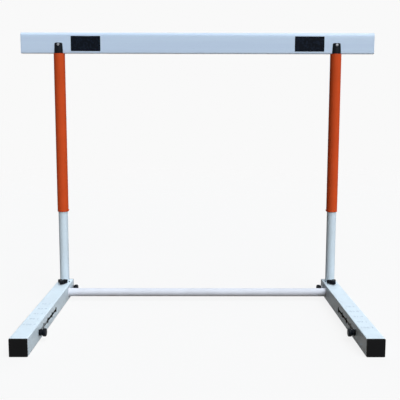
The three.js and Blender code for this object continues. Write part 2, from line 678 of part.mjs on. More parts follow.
function clampBolt() {
  const [tip, top] = [FOOT_SIZE - CLAMP_BOLT_REACH, knobTop - CLAMP_ROOF - FIT_GAP];
  return turned(Z_AXIS, [
    [0, tip],
    [CLAMP_BOLT_RADIUS - CLAMP_BOLT_TIP, tip],
    [CLAMP_BOLT_RADIUS, tip + CLAMP_BOLT_TIP],
    [CLAMP_BOLT_RADIUS, top],
    [0, top],
  ]).translate(CLAMP_PLACE);
}

// Its lobes come from a radius that swells once for each lobe
function clampKnob(turn) {
  const points = Array.from({ length: CLAMP_LOBE_STEPS }, (_, i) => {
    const angle = (i / CLAMP_LOBE_STEPS) * 2 * Math.PI;
    const radius = CLAMP_KNOB_RADIUS + CLAMP_LOBE * Math.cos(CLAMP_LOBE_COUNT * (angle - turn));
    return new THREE.Vector2(radius * Math.cos(angle), radius * Math.sin(angle));
  });
  const lobes = new THREE.ExtrudeGeometry(new THREE.Shape(points), {
    depth: CLAMP_KNOB_HEIGHT - 2 * CLAMP_KNOB_BEVEL,
    bevelSize: CLAMP_KNOB_BEVEL,
    bevelThickness: CLAMP_KNOB_BEVEL,
    bevelOffset: -CLAMP_KNOB_BEVEL,
    bevelSegments: 1,
  });
  const head = solid(lobes.translate(0, 0, knobBottom + CLAMP_HUB + CLAMP_KNOB_BEVEL));
  const hub = rod(Z_AXIS, CLAMP_HUB_RADIUS, knobBottom, knobTop - CLAMP_KNOB_HEIGHT / 2);
  const bore = rod(Z_AXIS, CLAMP_BOLT_RADIUS + FIT_GAP, knobBottom - CUT_OVERRUN, knobTop - CLAMP_ROOF);
  return head.add(hub).subtract(bore).translate(CLAMP_PLACE);
}

function lockFerrule(inward) {
  const sleeve = rod(inward, FERRULE_SLEEVE_RADIUS, sleeveTip + FIT_GAP, ferruleEnd - FERRULE_HEX / 2);
  const hex = rod(inward, FERRULE_HEX_RADIUS, WALL_OUTSIDE, ferruleEnd, HEX_SIDES);
  const bore = rod(inward, PLUNGER_BORE_RADIUS, 0, ferruleEnd - FERRULE_ROOF);
  const shankHole = rod(inward, PLUNGER_SHANK_RADIUS + FIT_GAP, 0, ferruleEnd + CUT_OVERRUN);
  return cut(sleeve.add(hex), [bore, shankHole]).translate([0, 0, FOOT_AXIS]);
}

const pinCollarBack = sleeveTip + 2 * FIT_GAP;
const pinCollarFront = pinCollarBack + PLUNGER_COLLAR;
const lockKnobBack = ferruleEnd + FIT_GAP;
const lockKnobFront = lockKnobBack + LOCK_KNOB_LENGTH;

function lockPin(inward) {
  const end = lockKnobFront - KNOB_ROOF - FIT_GAP;
  return turned(inward, [
    [0, LOWER_INNER_RADIUS - PLUNGER_TIP_REACH],
    [PLUNGER_TIP_RADIUS, LOWER_INNER_RADIUS - PLUNGER_TIP_REACH],
    [PLUNGER_TIP_RADIUS, pinCollarBack],
    [PLUNGER_COLLAR_RADIUS, pinCollarBack],
    [PLUNGER_COLLAR_RADIUS, pinCollarFront],
    [PLUNGER_SHANK_RADIUS, pinCollarFront],
    [PLUNGER_SHANK_RADIUS, end],
    [0, end],
  ]).translate([0, 0, FOOT_AXIS]);
}

function lockSpring(inward) {
  const [from, to] = [pinCollarFront + FIT_GAP, ferruleEnd - FERRULE_ROOF - FIT_GAP];
  return coil(inward, from, to, PLUNGER_SPRING_TURNS).translate([0, 0, FOOT_AXIS]);
}

function lockKnob(inward) {
  const bore = PLUNGER_SHANK_RADIUS + FIT_GAP;
  return turned(inward, [
    [0, lockKnobFront - KNOB_ROOF],
    [bore, lockKnobFront - KNOB_ROOF],
    [bore, lockKnobBack],
    [LOCK_KNOB_NECK_RADIUS, lockKnobBack],
    [LOCK_KNOB_RADIUS, lockKnobBack + LOCK_KNOB_ROUND],
    ...roundedEdge(LOCK_KNOB_RADIUS, lockKnobFront, LOCK_KNOB_ROUND, EDGE_STEPS),
    [0, lockKnobFront],
  ], KNOB_STEPS).translate([0, 0, FOOT_AXIS]);
}

// Counterweight and its pull knob

const boreStep = INSERT_SIZE / 2 - WEIGHT_BORE_ROOF;
const pullHeadFront = boreStep - 2 * FIT_GAP - WEIGHT_SPRING_LENGTH;
const flangeBack = WALL_OUTSIDE + PULL_COLLAR;
const waistBack = flangeBack + PULL_FLANGE;
const headBack = waistBack + PULL_WAIST;
const headFront = headBack + PULL_KNOB;

function weight(inward) {
  const body = footSlice(INSERT_SIZE, INSERT_CORNER, -WEIGHT_FRONT, WEIGHT_REAR);
  const bore = rod(inward, WEIGHT_BORE_RADIUS, -FOOT_SIZE, boreStep).translate([0, 0, FOOT_AXIS]);
  const shankHole = rod(inward, PULL_SHANK_RADIUS + FIT_GAP, 0, FOOT_SIZE).translate([0, 0, FOOT_AXIS]);
  return cut(body, [bore, shankHole]).translate([0, FRONT_STOP, 0]);
}

function weightPin(inward) {
  const end = headFront - KNOB_ROOF - FIT_GAP;
  return turned(inward, [
    [0, pullHeadFront - PULL_HEAD],
    [PULL_HEAD_RADIUS, pullHeadFront - PULL_HEAD],
    [PULL_HEAD_RADIUS, pullHeadFront],
    [PULL_SHANK_RADIUS, pullHeadFront],
    [PULL_SHANK_RADIUS, end],
    [0, end],
  ]).translate([0, FRONT_STOP, FOOT_AXIS]);
}

function weightSpring(inward) {
  const from = pullHeadFront + FIT_GAP;
  const spring = coil(inward, from, from + WEIGHT_SPRING_LENGTH, WEIGHT_SPRING_TURNS);
  return spring.translate([0, FRONT_STOP, FOOT_AXIS]);
}

function weightKnob(inward) {
  const bore = PULL_SHANK_RADIUS + FIT_GAP;
  return turned(inward, [
    [0, headFront - KNOB_ROOF],
    [bore, headFront - KNOB_ROOF],
    [bore, WALL_OUTSIDE],
    [PULL_COLLAR_RADIUS, WALL_OUTSIDE],
    [PULL_COLLAR_RADIUS, flangeBack],
    [PULL_FLANGE_RADIUS, flangeBack],
    [PULL_FLANGE_RADIUS, waistBack],
    [PULL_WAIST_RADIUS, waistBack + PULL_WAIST / 2],
    [PULL_KNOB_RADIUS - PULL_KNOB_ROUND, headBack],
    [PULL_KNOB_RADIUS, headBack + PULL_KNOB_ROUND],
    ...roundedEdge(PULL_KNOB_RADIUS, headFront, PULL_KNOB_ROUND, EDGE_STEPS),
    [0, headFront],
  ], KNOB_STEPS).translate([0, FRONT_STOP, FOOT_AXIS]);
}

// Assembly: what spans both posts is placed from the plane of their axes, and each side from its own axis

const middle = new THREE.Group();
middle.position.y = POST_Y;
hurdle.add(middle);
add(middle, 'bar', bar(), barPlastic);
add(middle, 'crossbar', crossbar(), whitePaint);

function addSide(name, side, lobeTurn) {
  const inward = new THREE.Vector3(-side, 0, 0);
  const post = new THREE.Group();
  post.position.set(side * POST_X, POST_Y, 0);
  hurdle.add(post);
  add(post, `${name}_foot`, foot(inward), whitePaint);
  add(post, `${name}_front_plug`, endPlug(FOOT_FRONT, 1, END_PLUG_INSERT), blackPlastic);
  add(post, `${name}_rear_plug`, endPlug(POST_SETBACK, -1, REAR_PLUG_INSERT), blackPlastic);
  add(post, `${name}_lower_post`, lowerPost(inward), whitePaint);
  add(post, `${name}_post_socket`, postSocket(inward), castIron);
  add(post, `${name}_socket_screw`, socketScrew(inward), darkSteel);
  add(post, `${name}_post_guide`, postGuide(), blackPlastic);
  add(post, `${name}_clamp_washer`, clampWasher(), brightSteel);
  add(post, `${name}_clamp_bolt`, clampBolt(), brightSteel);
  add(post, `${name}_clamp_knob`, clampKnob(lobeTurn), blackPlastic);
  add(post, `${name}_lock_ferrule`, lockFerrule(inward), brightSteel);
  add(post, `${name}_lock_pin`, lockPin(inward), brightSteel);
  add(post, `${name}_lock_spring`, lockSpring(inward), brightSteel);
  add(post, `${name}_lock_knob`, lockKnob(inward), blackPlastic);
  add(post, `${name}_height_button`, heightButton(inward), brightSteel);
  add(post, `${name}_button_spring`, buttonSpring(inward), brightSteel);
  add(post, `${name}_weight`, weight(inward), greyIron);
  add(post, `${name}_weight_pin`, weightPin(inward), brightSteel);
  add(post, `${name}_weight_spring`, weightSpring(inward), brightSteel);
  add(post, `${name}_weight_knob`, weightKnob(inward), blackPlastic);
  add(post, `${name}_upper_tube`, upperTube(inward), orangePaint);
  add(post, `${name}_guide_bush`, guideBush(), blackPlastic);
  add(post, `${name}_top_plug`, topPlug(), blackPlastic);
  add(post, `${name}_bar_screw`, barScrew(), brightSteel);
  add(post, `${name}_bar_nut`, barNut(), brightSteel);
  add(middle, `${name}_bar_cap`, barCap(side), barPlastic);
  add(middle, `${name}_bar_patch`, barPatch(side), patchBlack);
}

addSide('left', -1, LEFT_LOBE_TURN);
addSide('right', 1, RIGHT_LOBE_TURN);

export default hurdle;
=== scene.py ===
"""Makes the visible pieces and finishes of an adjustable track hurdle round its fixed frame.

Everything is in metres, in the frame's own coordinates: X along the bar, +Z up, the feet pointing to -Y.
"""

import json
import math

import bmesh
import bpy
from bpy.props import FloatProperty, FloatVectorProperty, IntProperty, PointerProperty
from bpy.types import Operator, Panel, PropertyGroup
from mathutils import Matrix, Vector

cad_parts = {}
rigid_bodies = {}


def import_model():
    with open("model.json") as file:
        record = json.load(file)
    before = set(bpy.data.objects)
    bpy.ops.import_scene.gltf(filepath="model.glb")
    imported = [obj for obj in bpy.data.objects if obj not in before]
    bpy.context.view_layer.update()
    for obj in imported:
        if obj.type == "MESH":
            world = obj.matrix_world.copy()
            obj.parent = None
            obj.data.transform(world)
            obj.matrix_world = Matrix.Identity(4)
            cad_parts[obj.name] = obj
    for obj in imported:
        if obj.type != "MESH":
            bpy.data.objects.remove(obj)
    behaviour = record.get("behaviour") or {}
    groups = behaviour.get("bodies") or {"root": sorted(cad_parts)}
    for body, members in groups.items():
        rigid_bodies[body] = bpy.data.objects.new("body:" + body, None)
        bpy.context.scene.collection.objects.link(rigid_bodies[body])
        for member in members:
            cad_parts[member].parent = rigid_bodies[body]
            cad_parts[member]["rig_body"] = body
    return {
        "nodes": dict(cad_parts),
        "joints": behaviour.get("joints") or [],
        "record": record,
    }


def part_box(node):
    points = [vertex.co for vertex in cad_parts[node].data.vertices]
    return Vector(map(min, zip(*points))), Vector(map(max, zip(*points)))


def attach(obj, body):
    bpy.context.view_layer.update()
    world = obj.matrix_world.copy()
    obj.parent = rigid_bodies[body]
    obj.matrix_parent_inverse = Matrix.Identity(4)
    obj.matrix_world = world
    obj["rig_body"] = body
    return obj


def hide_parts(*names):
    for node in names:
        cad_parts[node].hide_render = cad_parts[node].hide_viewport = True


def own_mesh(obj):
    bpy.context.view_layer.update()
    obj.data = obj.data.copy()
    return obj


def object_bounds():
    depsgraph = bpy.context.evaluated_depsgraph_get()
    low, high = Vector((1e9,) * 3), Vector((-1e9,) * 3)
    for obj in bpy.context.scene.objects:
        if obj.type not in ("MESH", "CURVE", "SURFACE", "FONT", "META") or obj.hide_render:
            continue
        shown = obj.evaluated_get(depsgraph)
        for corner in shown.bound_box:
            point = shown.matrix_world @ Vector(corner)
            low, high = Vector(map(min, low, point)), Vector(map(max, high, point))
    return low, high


bl_info = {
    "name": "Track hurdle",
    "version": (1, 0, 0),
    "blender": (4, 5, 0),
    "location": "3D View > Sidebar > Hurdle",
    "description": "Finely made pieces, finishes and a photo stage for an adjustable track hurdle",
    "category": "Add Mesh",
}

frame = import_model()
cad_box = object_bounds()

MM = 0.001
CM = 0.01
SIDES = {"left": -1, "right": 1}
SLOTS = {part["node"]: part["material_slot"] for part in frame["record"]["subparts"]}
JOINTS = {joint["name"]: joint for joint in frame["joints"]}
finishes = {}


def length(name, description, millimetres):
    limits = {"min": 0.0, "precision": 4, "subtype": "DISTANCE"}
    return FloatProperty(name=name, description=description, default=millimetres * MM, **limits)


def share(name, description, default):
    limits = {"min": 0.0, "max": 1.0, "subtype": "FACTOR"}
    return FloatProperty(name=name, description=description, default=default, **limits)


def count(name, description, default):
    return IntProperty(name=name, description=description, default=default, min=1)


def degrees(name, description, default):
    return FloatProperty(name=name, description=description, default=math.radians(default), subtype="ANGLE")


def amount(name, description, default):
    return FloatProperty(name=name, description=description, default=default, min=0.0)


def linear(channel):
    """The linear value of a screen colour's channel, by the sRGB formula."""
    level = channel / 255
    return level / 12.92 if level <= 0.04045 else ((level + 0.055) / 1.055) ** 2.4


def colour(name, description, *channels):
    default = tuple(linear(channel) for channel in channels)
    limits = {"size": 3, "min": 0.0, "max": 1.0, "subtype": "COLOR"}
    return FloatVectorProperty(name=name, description=description, default=default, **limits)


# Sizes and colours that a user may change

class HurdleFinishSettings(PropertyGroup):
    white: colour("White paint", "Powder coat of the feet and inner posts", 224, 240, 250)
    crossbar: colour("Crossbar paint", "Powder coat of the crossbar, a little greyer", 227, 231, 240)
    orange: colour("Orange paint", "Powder coat of the outer posts", 219, 85, 40)
    bar: colour("Bar plastic", "Pale blue-white plastic of the bar and its caps", 211, 231, 255)
    black: colour("Black plastic", "Plugs in the ends of the feet, guide bushes and post guides", 12, 12, 13)
    knob: colour("Knob plastic", "Bluer black of the knobs and forked plugs", 11, 16, 23)
    patch: colour("Label black", "Blank labels on the bar", 9, 14, 22)
    steel: colour("Bright steel", "Screws, nuts, washers, pins and springs", 142, 145, 150)
    dark_steel: colour("Dark steel", "Blackened screws", 60, 62, 66)
    iron: colour("Cast iron", "Sockets of the posts", 70, 72, 74)
    grey_iron: colour("Grey iron", "Grey-painted castings of the counterweights", 158, 166, 172)
    bare_metal: colour("Bare metal", "Steel that shows where paint is chipped", 148, 146, 143)
    # Bare steel inside, made darker as painted shade: it covers the bores of the feet and tubes and the cut
    # edges of their holes.
    inside: colour("Bare inside", "Unpainted steel inside the feet and posts", 46, 43, 40)
    # Track dust, which also stands for painted brown shade on the low paint near the floor.
    dust_and_shade: colour("Dust", "Track dust, mostly on low paint", 150, 132, 112)
    rust: colour("Rust", "Stains where paint is chipped, and on cast iron", 152, 84, 44)
    ink: colour("Scale ink", "Printed numbers on the feet", 178, 196, 210)


class HurdleBarSettings(PropertyGroup):
    wall: length("Wall", "Thickness of the bar's wall", 2)
    lower_edge: length("Lower edge", "Radius of the bar's two lower edges", 2.5)
    cap_plate: length("Cap plate", "Thickness of an end cap outside the bar", 2)
    cap_wall: length("Cap wall", "Thickness of an end cap's insert", 2)
    cap_edge: length("Cap edge", "Rounding of an end cap's outer edge", 0.8)
    patch_corner: length("Label corner", "Corner radius of a blank label", 1.5)
    patch_edge: length("Label edge", "Rounding of a blank label's rim", 0.25)


class HurdlePostSettings(PropertyGroup):
    outer_wall: length("Outer wall", "Wall of the orange outer tubes", 1.5)
    inner_wall: length("Inner wall", "Wall of the white inner tubes", 2)
    rim: length("Rim", "Rounding of the tubes' ends", 0.5)
    hole: length("Hole radius", "Radius of the height holes", 4.3)
    hole_chamfer: length("Hole chamfer", "Width of the chamfer round a height hole", 0.7)
    hole_count: count("Height settings", "Number of height holes in an outer tube", 5)
    plug_taper: length("Plug taper", "How much narrower the tongues are at their top", 1.6)
    plug_round: length("Plug rounding", "Radius of the tongues' top edge", 4)
    plug_edge: length("Plug edge", "Rounding of the tongues' cut edges", 0.7)
    bolt_height: length("Screw height", "Height of the cap screws above the bar's underside", 29)
    bolt_hole: length("Screw hole", "Radius of the holes for the cap screws", 2.8)
    seat_depth: length("Seat", "Distance from the bar's face to a screw's seat", 4.3)
    seat_radius: length("Seat radius", "Radius of a screw's recess", 5.2)
    socket: length("Key socket", "Radius of the hexagon in a cap screw", 1.9)
    socket_depth: length("Key depth", "Depth of the hexagon in a cap screw", 1.6)
    rivet: length("Rivet radius", "Radius of the rivet that holds a guide bush", 3.2)
    rivet_height: length("Rivet height", "How far that rivet stands off the tube", 2)
    rivet_rise: length("Rivet rise", "Height of that rivet above the tube's lower end", 5)


class HurdleFootSettings(PropertyGroup):
    wall: length("Wall", "Wall of the box-section feet", 2)
    corner: length("Corner", "Outer corner radius of the feet", 2.4)
    stops: count("Stops", "Number of stop holes for a counterweight", 5)
    stop_hole: length("Stop hole", "Radius of a stop hole", 8.7)
    slot_neck: length("Slot neck", "Height of the slot between stop holes", 7.2)
    plug_edge: length("Plug edge", "Rounding of an end plug's face", 0.8)
    crossbar_wall: length("Crossbar wall", "Wall of the crossbar", 2)
    bead: length("Weld bead", "Leg of the weld bead round a crossbar's end", 4)
    ripples: count("Weld ripples", "Ripples round a weld bead", 26)
    ripple: length("Ripple height", "Height of the ripples in a weld bead", 0.35)
    number_height: length("Number height", "Height of the printed numbers", 12)
    print_thickness: length("Print thickness", "Thickness of the printed ink", 0.06)
    print_pitch: length("Print pitch", "Distance from one printed number to the next", 51)
    left_print_shift: length("Left print shift", "Distance of the rear left number from its stop", 22)
    right_print_shift: length("Right print shift", "Distance of the rear right number from its stop", 48)


class HurdleKnobSettings(PropertyGroup):
    lobe_radius: length("Lobe radius", "Mean radius of a clamp knob", 13)
    lobe: length("Lobe", "Swell of a clamp knob's lobes", 5.9)
    lobes: count("Lobes", "Number of lobes on a clamp knob", 3)
    left_turn: degrees("Left turn", "Angle of a lobe of the left clamp knob", 27)
    right_turn: degrees("Right turn", "Angle of a lobe of the right clamp knob", 49)
    knob_height: length("Knob height", "Height of a clamp knob's lobes", 11.6)
    knob_edge: length("Knob edge", "Rounding of a clamp knob", 2.4)
    hub: length("Hub radius", "Radius of a clamp knob's hub", 6.8)
    cap: length("Cap radius", "Radius of the cap in a clamp knob's top", 4.2)
    neck: length("Neck radius", "Radius of a post lock knob where it meets its ferrule", 8.5)
    lock_edge: length("Lock edge", "Rounding of the post lock knobs", 4.5)
    grip_edge: length("Grip edge", "Rounding of the counterweight knobs", 3)
    small_edge: length("Small edge", "Rounding of small turned pieces", 0.4)
    wire: length("Wire radius", "Radius of the wire of the coil springs", 0.5)
    lock_turns: count("Lock spring turns", "Turns of a post lock's spring", 3)
    weight_turns: count("Weight spring turns", "Turns of the spring behind a counterweight's pin", 5)


class HurdleStageSettings(PropertyGroup):
    lens: amount("Focal length", "Camera focal length in millimetres", 58.64)
    camera_x: amount("Camera across", "Camera place along the bar, in metres", 0.00052)
    camera_back: amount("Camera back", "Distance in front of the frame's origin, in metres", 1.97916)
    camera_up: amount("Camera height", "Camera height above the floor, in metres", 0.62654)
    pitch: degrees("Pitch", "How far the camera looks down", 7.16)
    yaw: degrees("Yaw", "How far the camera turns to its left", -0.21)
    roll: degrees("Roll", "How far the camera leans", -0.1)
    backdrop: colour("Backdrop", "Colour of the floor and background", 249, 249, 249)
    ground: colour("Ground", "Colour of the light that the floor throws back", 88, 72, 50)
    shadow: share("Shadow", "How much of the object's shadow shows on the floor", 0.1)
    key: amount("Key light", "Strength of the lamp above", 1.48)
    fill: amount("Fill light", "Strength of the lamp in front, on the right", 1.8)
    back: amount("Back light", "Strength of the lamp behind", 0.8)
    sky: amount("Sky light", "Strength of the light from all round", 0.34)
    sky_bright: colour("Bright sky", "Colour of the light from the right and above", 236, 244, 255)
    sky_dim: colour("Dim sky", "Colour of the light from the left", 84, 73, 54)


# Paths and outlines

# Facets of a rounded corner, of large and small round pieces, of hexagons and of wire
ARC_STEPS = 5
TURN_STEPS = 64
SMALL_TURN_STEPS = 40
HEX_SIDES = 6
WIRE_SIDES = 10
# Longest facet along a tube, how far a cutter runs past a surface, and the play between two pieces
RING_SPACING = 10 * MM
OVERRUN = 5 * MM
GAP = 0.3 * MM


class Place:
    """Where a node of the frame lies: its lowest and highest corners, its middle and its size."""

    def __init__(self, node):
        self.low, self.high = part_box(node)
        self.middle = (self.low + self.high) / 2
        self.size = self.high - self.low

    def end(self, axis, sense):
        """The coordinate of its higher or lower end on an axis."""
        return getattr(self.high if sense > 0 else self.low, axis)

    def reach(self, carrier):
        """How near and how far it lies from the middle of a post or foot, along X."""
        return sorted(abs(x - carrier.middle.x) for x in (self.low.x, self.high.x))


def places(name, *parts):
    """The places of some nodes on one side."""
    return [Place(f"{name}_{part}") for part in parts]


def filleted(corners, closed=False, parts=1, steps=ARC_STEPS):
    """Points along a path of (u, v, radius) corners, each corner with a radius rounded by an arc."""
    rounded = []
    for i, (u, v, radius) in enumerate(corners):
        corner = Vector((u, v))
        if radius == 0 or (not closed and i in (0, len(corners) - 1)):
            rounded.append([corner])
            continue
        back = (Vector(corners[i - 1][:2]) - corner).normalized()
        ahead = (Vector(corners[(i + 1) % len(corners)][:2]) - corner).normalized()
        half = back.angle(ahead) / 2
        centre = corner + (back + ahead).normalized() * radius / math.sin(half)
        start = corner + back * radius / math.tan(half) - centre
        end = corner + ahead * radius / math.tan(half) - centre
        turn = -start.angle_signed(end)
        rounded.append([centre + Matrix.Rotation(turn * k / steps, 2) @ start for k in range(steps + 1)])
    points = []
    for i, arc in enumerate(rounded):
        points += arc
        if closed or i < len(rounded) - 1:
            following = rounded[(i + 1) % len(rounded)][0]
            points += [arc[-1].lerp(following, k / parts) for k in range(1, parts)]
    return points


def circle(radius, steps=TURN_STEPS):
    angles = [2 * math.pi * k / steps for k in range(steps)]
    return [Vector((radius * math.cos(a), radius * math.sin(a))) for a in angles]


def round_outline(radius, steps=TURN_STEPS):
    """The outline of a circle, or of a polygon of a few steps, for any inset."""
    return lambda inset: circle(radius - inset, steps)


def box_outline(width, height, corner, parts=1):
    """The outline of a rounded rectangle for any inset, centred on its origin."""

    def outline(inset):
        w, h = width / 2 - inset, height / 2 - inset
        radius = max(corner - inset, GAP)
        corners = [(-w, -h, radius), (w, -h, radius), (w, h, radius), (-w, h, radius)]
        return filleted(corners, closed=True, parts=parts)

    return outline


def stations(start, end, spacing=RING_SPACING):
    """Evenly spaced values from a start to an end."""
    parts = max(1, round(abs(end - start) / spacing))
    return [start + (end - start) * k / parts for k in range(parts + 1)]


def pairs_of(points):
    return [(p.x, p.y) for p in points]


def rim_profile(edge):
    """(inset, along) pairs of the rounded rim of a plate, from its face to its side."""
    return pairs_of(filleted([(edge, 0, 0), (0, 0, edge), (0, edge, 0)]))


def wall_profile(thickness, start, end, edge):
    """(inset, along) pairs round the wall of a tube, out along its outside and back along its bore."""
    steps = stations(start + edge, end - edge)
    outside = [(edge, start)] + [(0.0, s) for s in steps] + [(edge, end)]
    bore = [(thickness, s) for s in reversed(steps)]
    return outside + [(thickness - edge, end)] + bore + [(thickness - edge, start)]


def along(axis, origin, sense=1):
    """A placing function: u and v lie across the axis, and s runs along it from the origin."""
    first, second, third = {"X": (1, 2, 0), "Y": (0, 2, 1), "Z": (0, 1, 2)}[axis]

    def placed(u, v, s):
        point = Vector(origin)
        point[first] += u
        point[second] += v
        point[third] += sense * s
        return point

    return placed


def upright(place):
    """Places things along Z, over the middle of a place and at their own heights."""
    return along("Z", (place.middle.x, place.middle.y, 0.0))


def inwards(carrier, y, z, side):
    """Places things along X from the middle of a post or foot towards the middle of the hurdle."""
    return along("X", (carrier.middle.x, y, z), -side)


# Meshes

MERGE_DISTANCE = MM / 1000
SOFT_SEGMENTS = 3
SOFT_ANGLE = math.radians(40)
SMOOTH_ANGLE = math.radians(32)
WEAR_AND_HIGHLIGHT_ANGLES = (math.radians(10), math.radians(25))
# Finishes of pieces whose colour differs a little from that of their slot
OWN_FINISHES = {
    "crossbar": "crossbar_paint",
    "top_plug": "knob_plastic",
    "clamp_knob": "knob_plastic",
    "lock_knob": "knob_plastic",
    "weight_knob": "knob_plastic",
}


def linked(name, data):
    """A new object in the scene."""
    made = bpy.data.objects.new(name, data)
    bpy.context.scene.collection.objects.link(made)
    return made


def piece_of(name, build):
    """A linked object whose mesh a function fills in."""
    mesh = bpy.data.meshes.new(name)
    shape = bmesh.new()
    build(shape)
    bmesh.ops.remove_doubles(shape, verts=shape.verts, dist=MERGE_DISTANCE)
    bmesh.ops.dissolve_degenerate(shape, edges=shape.edges, dist=MERGE_DISTANCE)
    bmesh.ops.recalc_face_normals(shape, faces=shape.faces)
    shape.to_mesh(mesh)
    shape.free()
    return linked(name, mesh)


def skin(shape, outline, profile, placed, joined):
    """Faces over one ring of corners for each (inset, along) pair."""
    rings = [[shape.verts.new(placed(p.x, p.y, s)) for p in outline(inset)] for inset, s in profile]
    bridge(shape, rings, joined)


def bridge(shape, rings, joined=False):
    """Faces from ring to ring, joined end to end or closed by a face at each end."""
    pairs = list(zip(rings, rings[1:]))
    if joined:
        pairs.append((rings[-1], rings[0]))
    else:
        shape.faces.new(rings[0])
        shape.faces.new(rings[-1])
    for near, far in pairs:
        for i, corner in enumerate(near):
            shape.faces.new((near[i - 1], corner, far[i], far[i - 1]))


def loft(name, outline, profile, placed, joined=False):
    return piece_of(name, lambda shape: skin(shape, outline, profile, placed, joined))


def turned(name, corners, placed, steps=SMALL_TURN_STEPS, joined=False):
    """A turned piece from (radius, along, rounding) corners. It may start and end on its axis."""
    profile = pairs_of(filleted(corners, closed=joined))
    return loft(name, lambda radius: circle(radius, steps), profile, placed, joined)


def rod(name, radius, start, end, placed):
    return turned(name, [(radius, start, 0), (radius, end, 0)], placed)


def spindle(name, corners, placed, steps=SMALL_TURN_STEPS):
    """A turned piece whose two ends close on its axis."""
    return turned(name, [(0, corners[0][1], 0), *corners, (0, corners[-1][1], 0)], placed, steps)


def stud(name, radius, start, end, placed, edge):
    """A rod whose first end is rounded."""
    return spindle(name, [(radius, start, edge), (radius, end, 0)], placed)


def ring(name, inner, outer, start, end, placed, edge=0, bore_edge=0, steps=SMALL_TURN_STEPS):
    """A turned ring whose rims are rounded outside and in its bore."""
    corners = [(inner, start, bore_edge), (outer, start, edge), (outer, end, edge), (inner, end, bore_edge)]
    return turned(name, corners, placed, steps, joined=True)


def coil(name, radius, wire, turns, size, placed):
    """A spring of round wire whose mean radius, turns and length are given."""
    steps = turns * SMALL_TURN_STEPS

    def build(shape):
        rings = []
        for i in range(steps + 1):
            turn = Matrix.Rotation(2 * math.pi * i / SMALL_TURN_STEPS, 2)
            middle = wire + (size - 2 * wire) * i / steps
            section = []
            for p in circle(wire, WIRE_SIDES):
                across = turn @ Vector((radius + p.x, 0))
                section.append(shape.verts.new(placed(across.x, across.y, middle + p.y)))
            rings.append(section)
        bridge(shape, rings)

    return piece_of(name, build)


def block(name, low, high):
    """A plain cutter between two corners."""
    placed = along("Z", ((low[0] + high[0]) / 2, (low[1] + high[1]) / 2, 0))
    w, h = (high[0] - low[0]) / 2, (high[1] - low[1]) / 2
    corners = [Vector((-w, -h)), Vector((w, -h)), Vector((w, h)), Vector((-w, h))]
    return loft(name, lambda inset: corners, [(0, low[2]), (0, high[2])], placed)


def solid_mesh(piece):
    """The mesh that an object's modifiers or letters come to."""
    graph = bpy.context.evaluated_depsgraph_get()
    return bpy.data.meshes.new_from_object(piece.evaluated_get(graph))


def settle(piece):
    """Replaces a piece's mesh by what its modifiers make of it."""
    mesh = solid_mesh(piece)
    plain = piece.data
    piece.modifiers.clear()
    piece.data = mesh
    bpy.data.meshes.remove(plain)


def combine(piece, others, operation):
    for other in others:
        modifier = piece.modifiers.new("combine", "BOOLEAN")
        modifier.object = other
        modifier.operation = operation
        modifier.solver = "EXACT"
    settle(piece)
    for other in others:
        bpy.data.meshes.remove(other.data)


def carve(piece, *cutters):
    combine(piece, cutters, "DIFFERENCE")


def fuse(piece, *additions):
    combine(piece, additions, "UNION")


def soften(piece, width):
    """Rounds the sharp edges of a piece."""
    modifier = piece.modifiers.new("soften", "BEVEL")
    modifier.width = width
    modifier.segments = SOFT_SEGMENTS
    modifier.limit_method = "ANGLE"
    modifier.angle_limit = SOFT_ANGLE
    settle(piece)


def mark_edges(mesh):
    """Stores how sharply the mesh turns outwards at each vertex, which the paint's wear and the painted edge
    highlight on plastic follow.
    """
    shape = bmesh.new()
    shape.from_mesh(mesh)
    values = []
    low, high = WEAR_AND_HIGHLIGHT_ANGLES
    for vertex in shape.verts:
        turns = [edge.calc_face_angle_signed(0.0) for edge in vertex.link_edges]
        values.append(min(1.0, max(0.0, (max(turns, default=0.0) - low) / (high - low))))
    shape.free()
    attribute = mesh.attributes.new("edge_wear", "FLOAT", "POINT")
    attribute.data.foreach_set("value", values)


def mark_shaded_inside(mesh, inside):
    """Stores which vertices lie inside a tube, where its paint ends and painted shade covers the bare steel
    and the cut edges of holes.
    """
    attribute = mesh.attributes.new("inside", "FLOAT", "POINT")
    attribute.data.foreach_set("value", [float(inside(vertex.co)) for vertex in mesh.vertices])


def shade(piece, finish, body):
    """Gives a piece its shading and finish, and the body that it moves with."""
    mesh = piece.data
    mesh.materials.clear()
    mesh.materials.append(finishes[finish])
    mesh.shade_smooth()
    mesh.set_sharp_from_angle(angle=SMOOTH_ANGLE)
    mark_edges(mesh)
    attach(piece, body)


def dress(piece, node):
    """Puts a piece in the place of a node, which it hides, with that node's body and the finish that its
    slot or its kind calls for.
    """
    slot = SLOTS[node]
    kind = node.removeprefix("left_").removeprefix("right_")
    shade(piece, OWN_FINISHES.get(kind, slot), frame["nodes"][node]["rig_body"])
    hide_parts(node)


# Finishes

# Heights between which the dust and painted shade on low paint thin out
DUST_AND_SHADE_HEIGHTS = (4 * MM, 35 * MM)


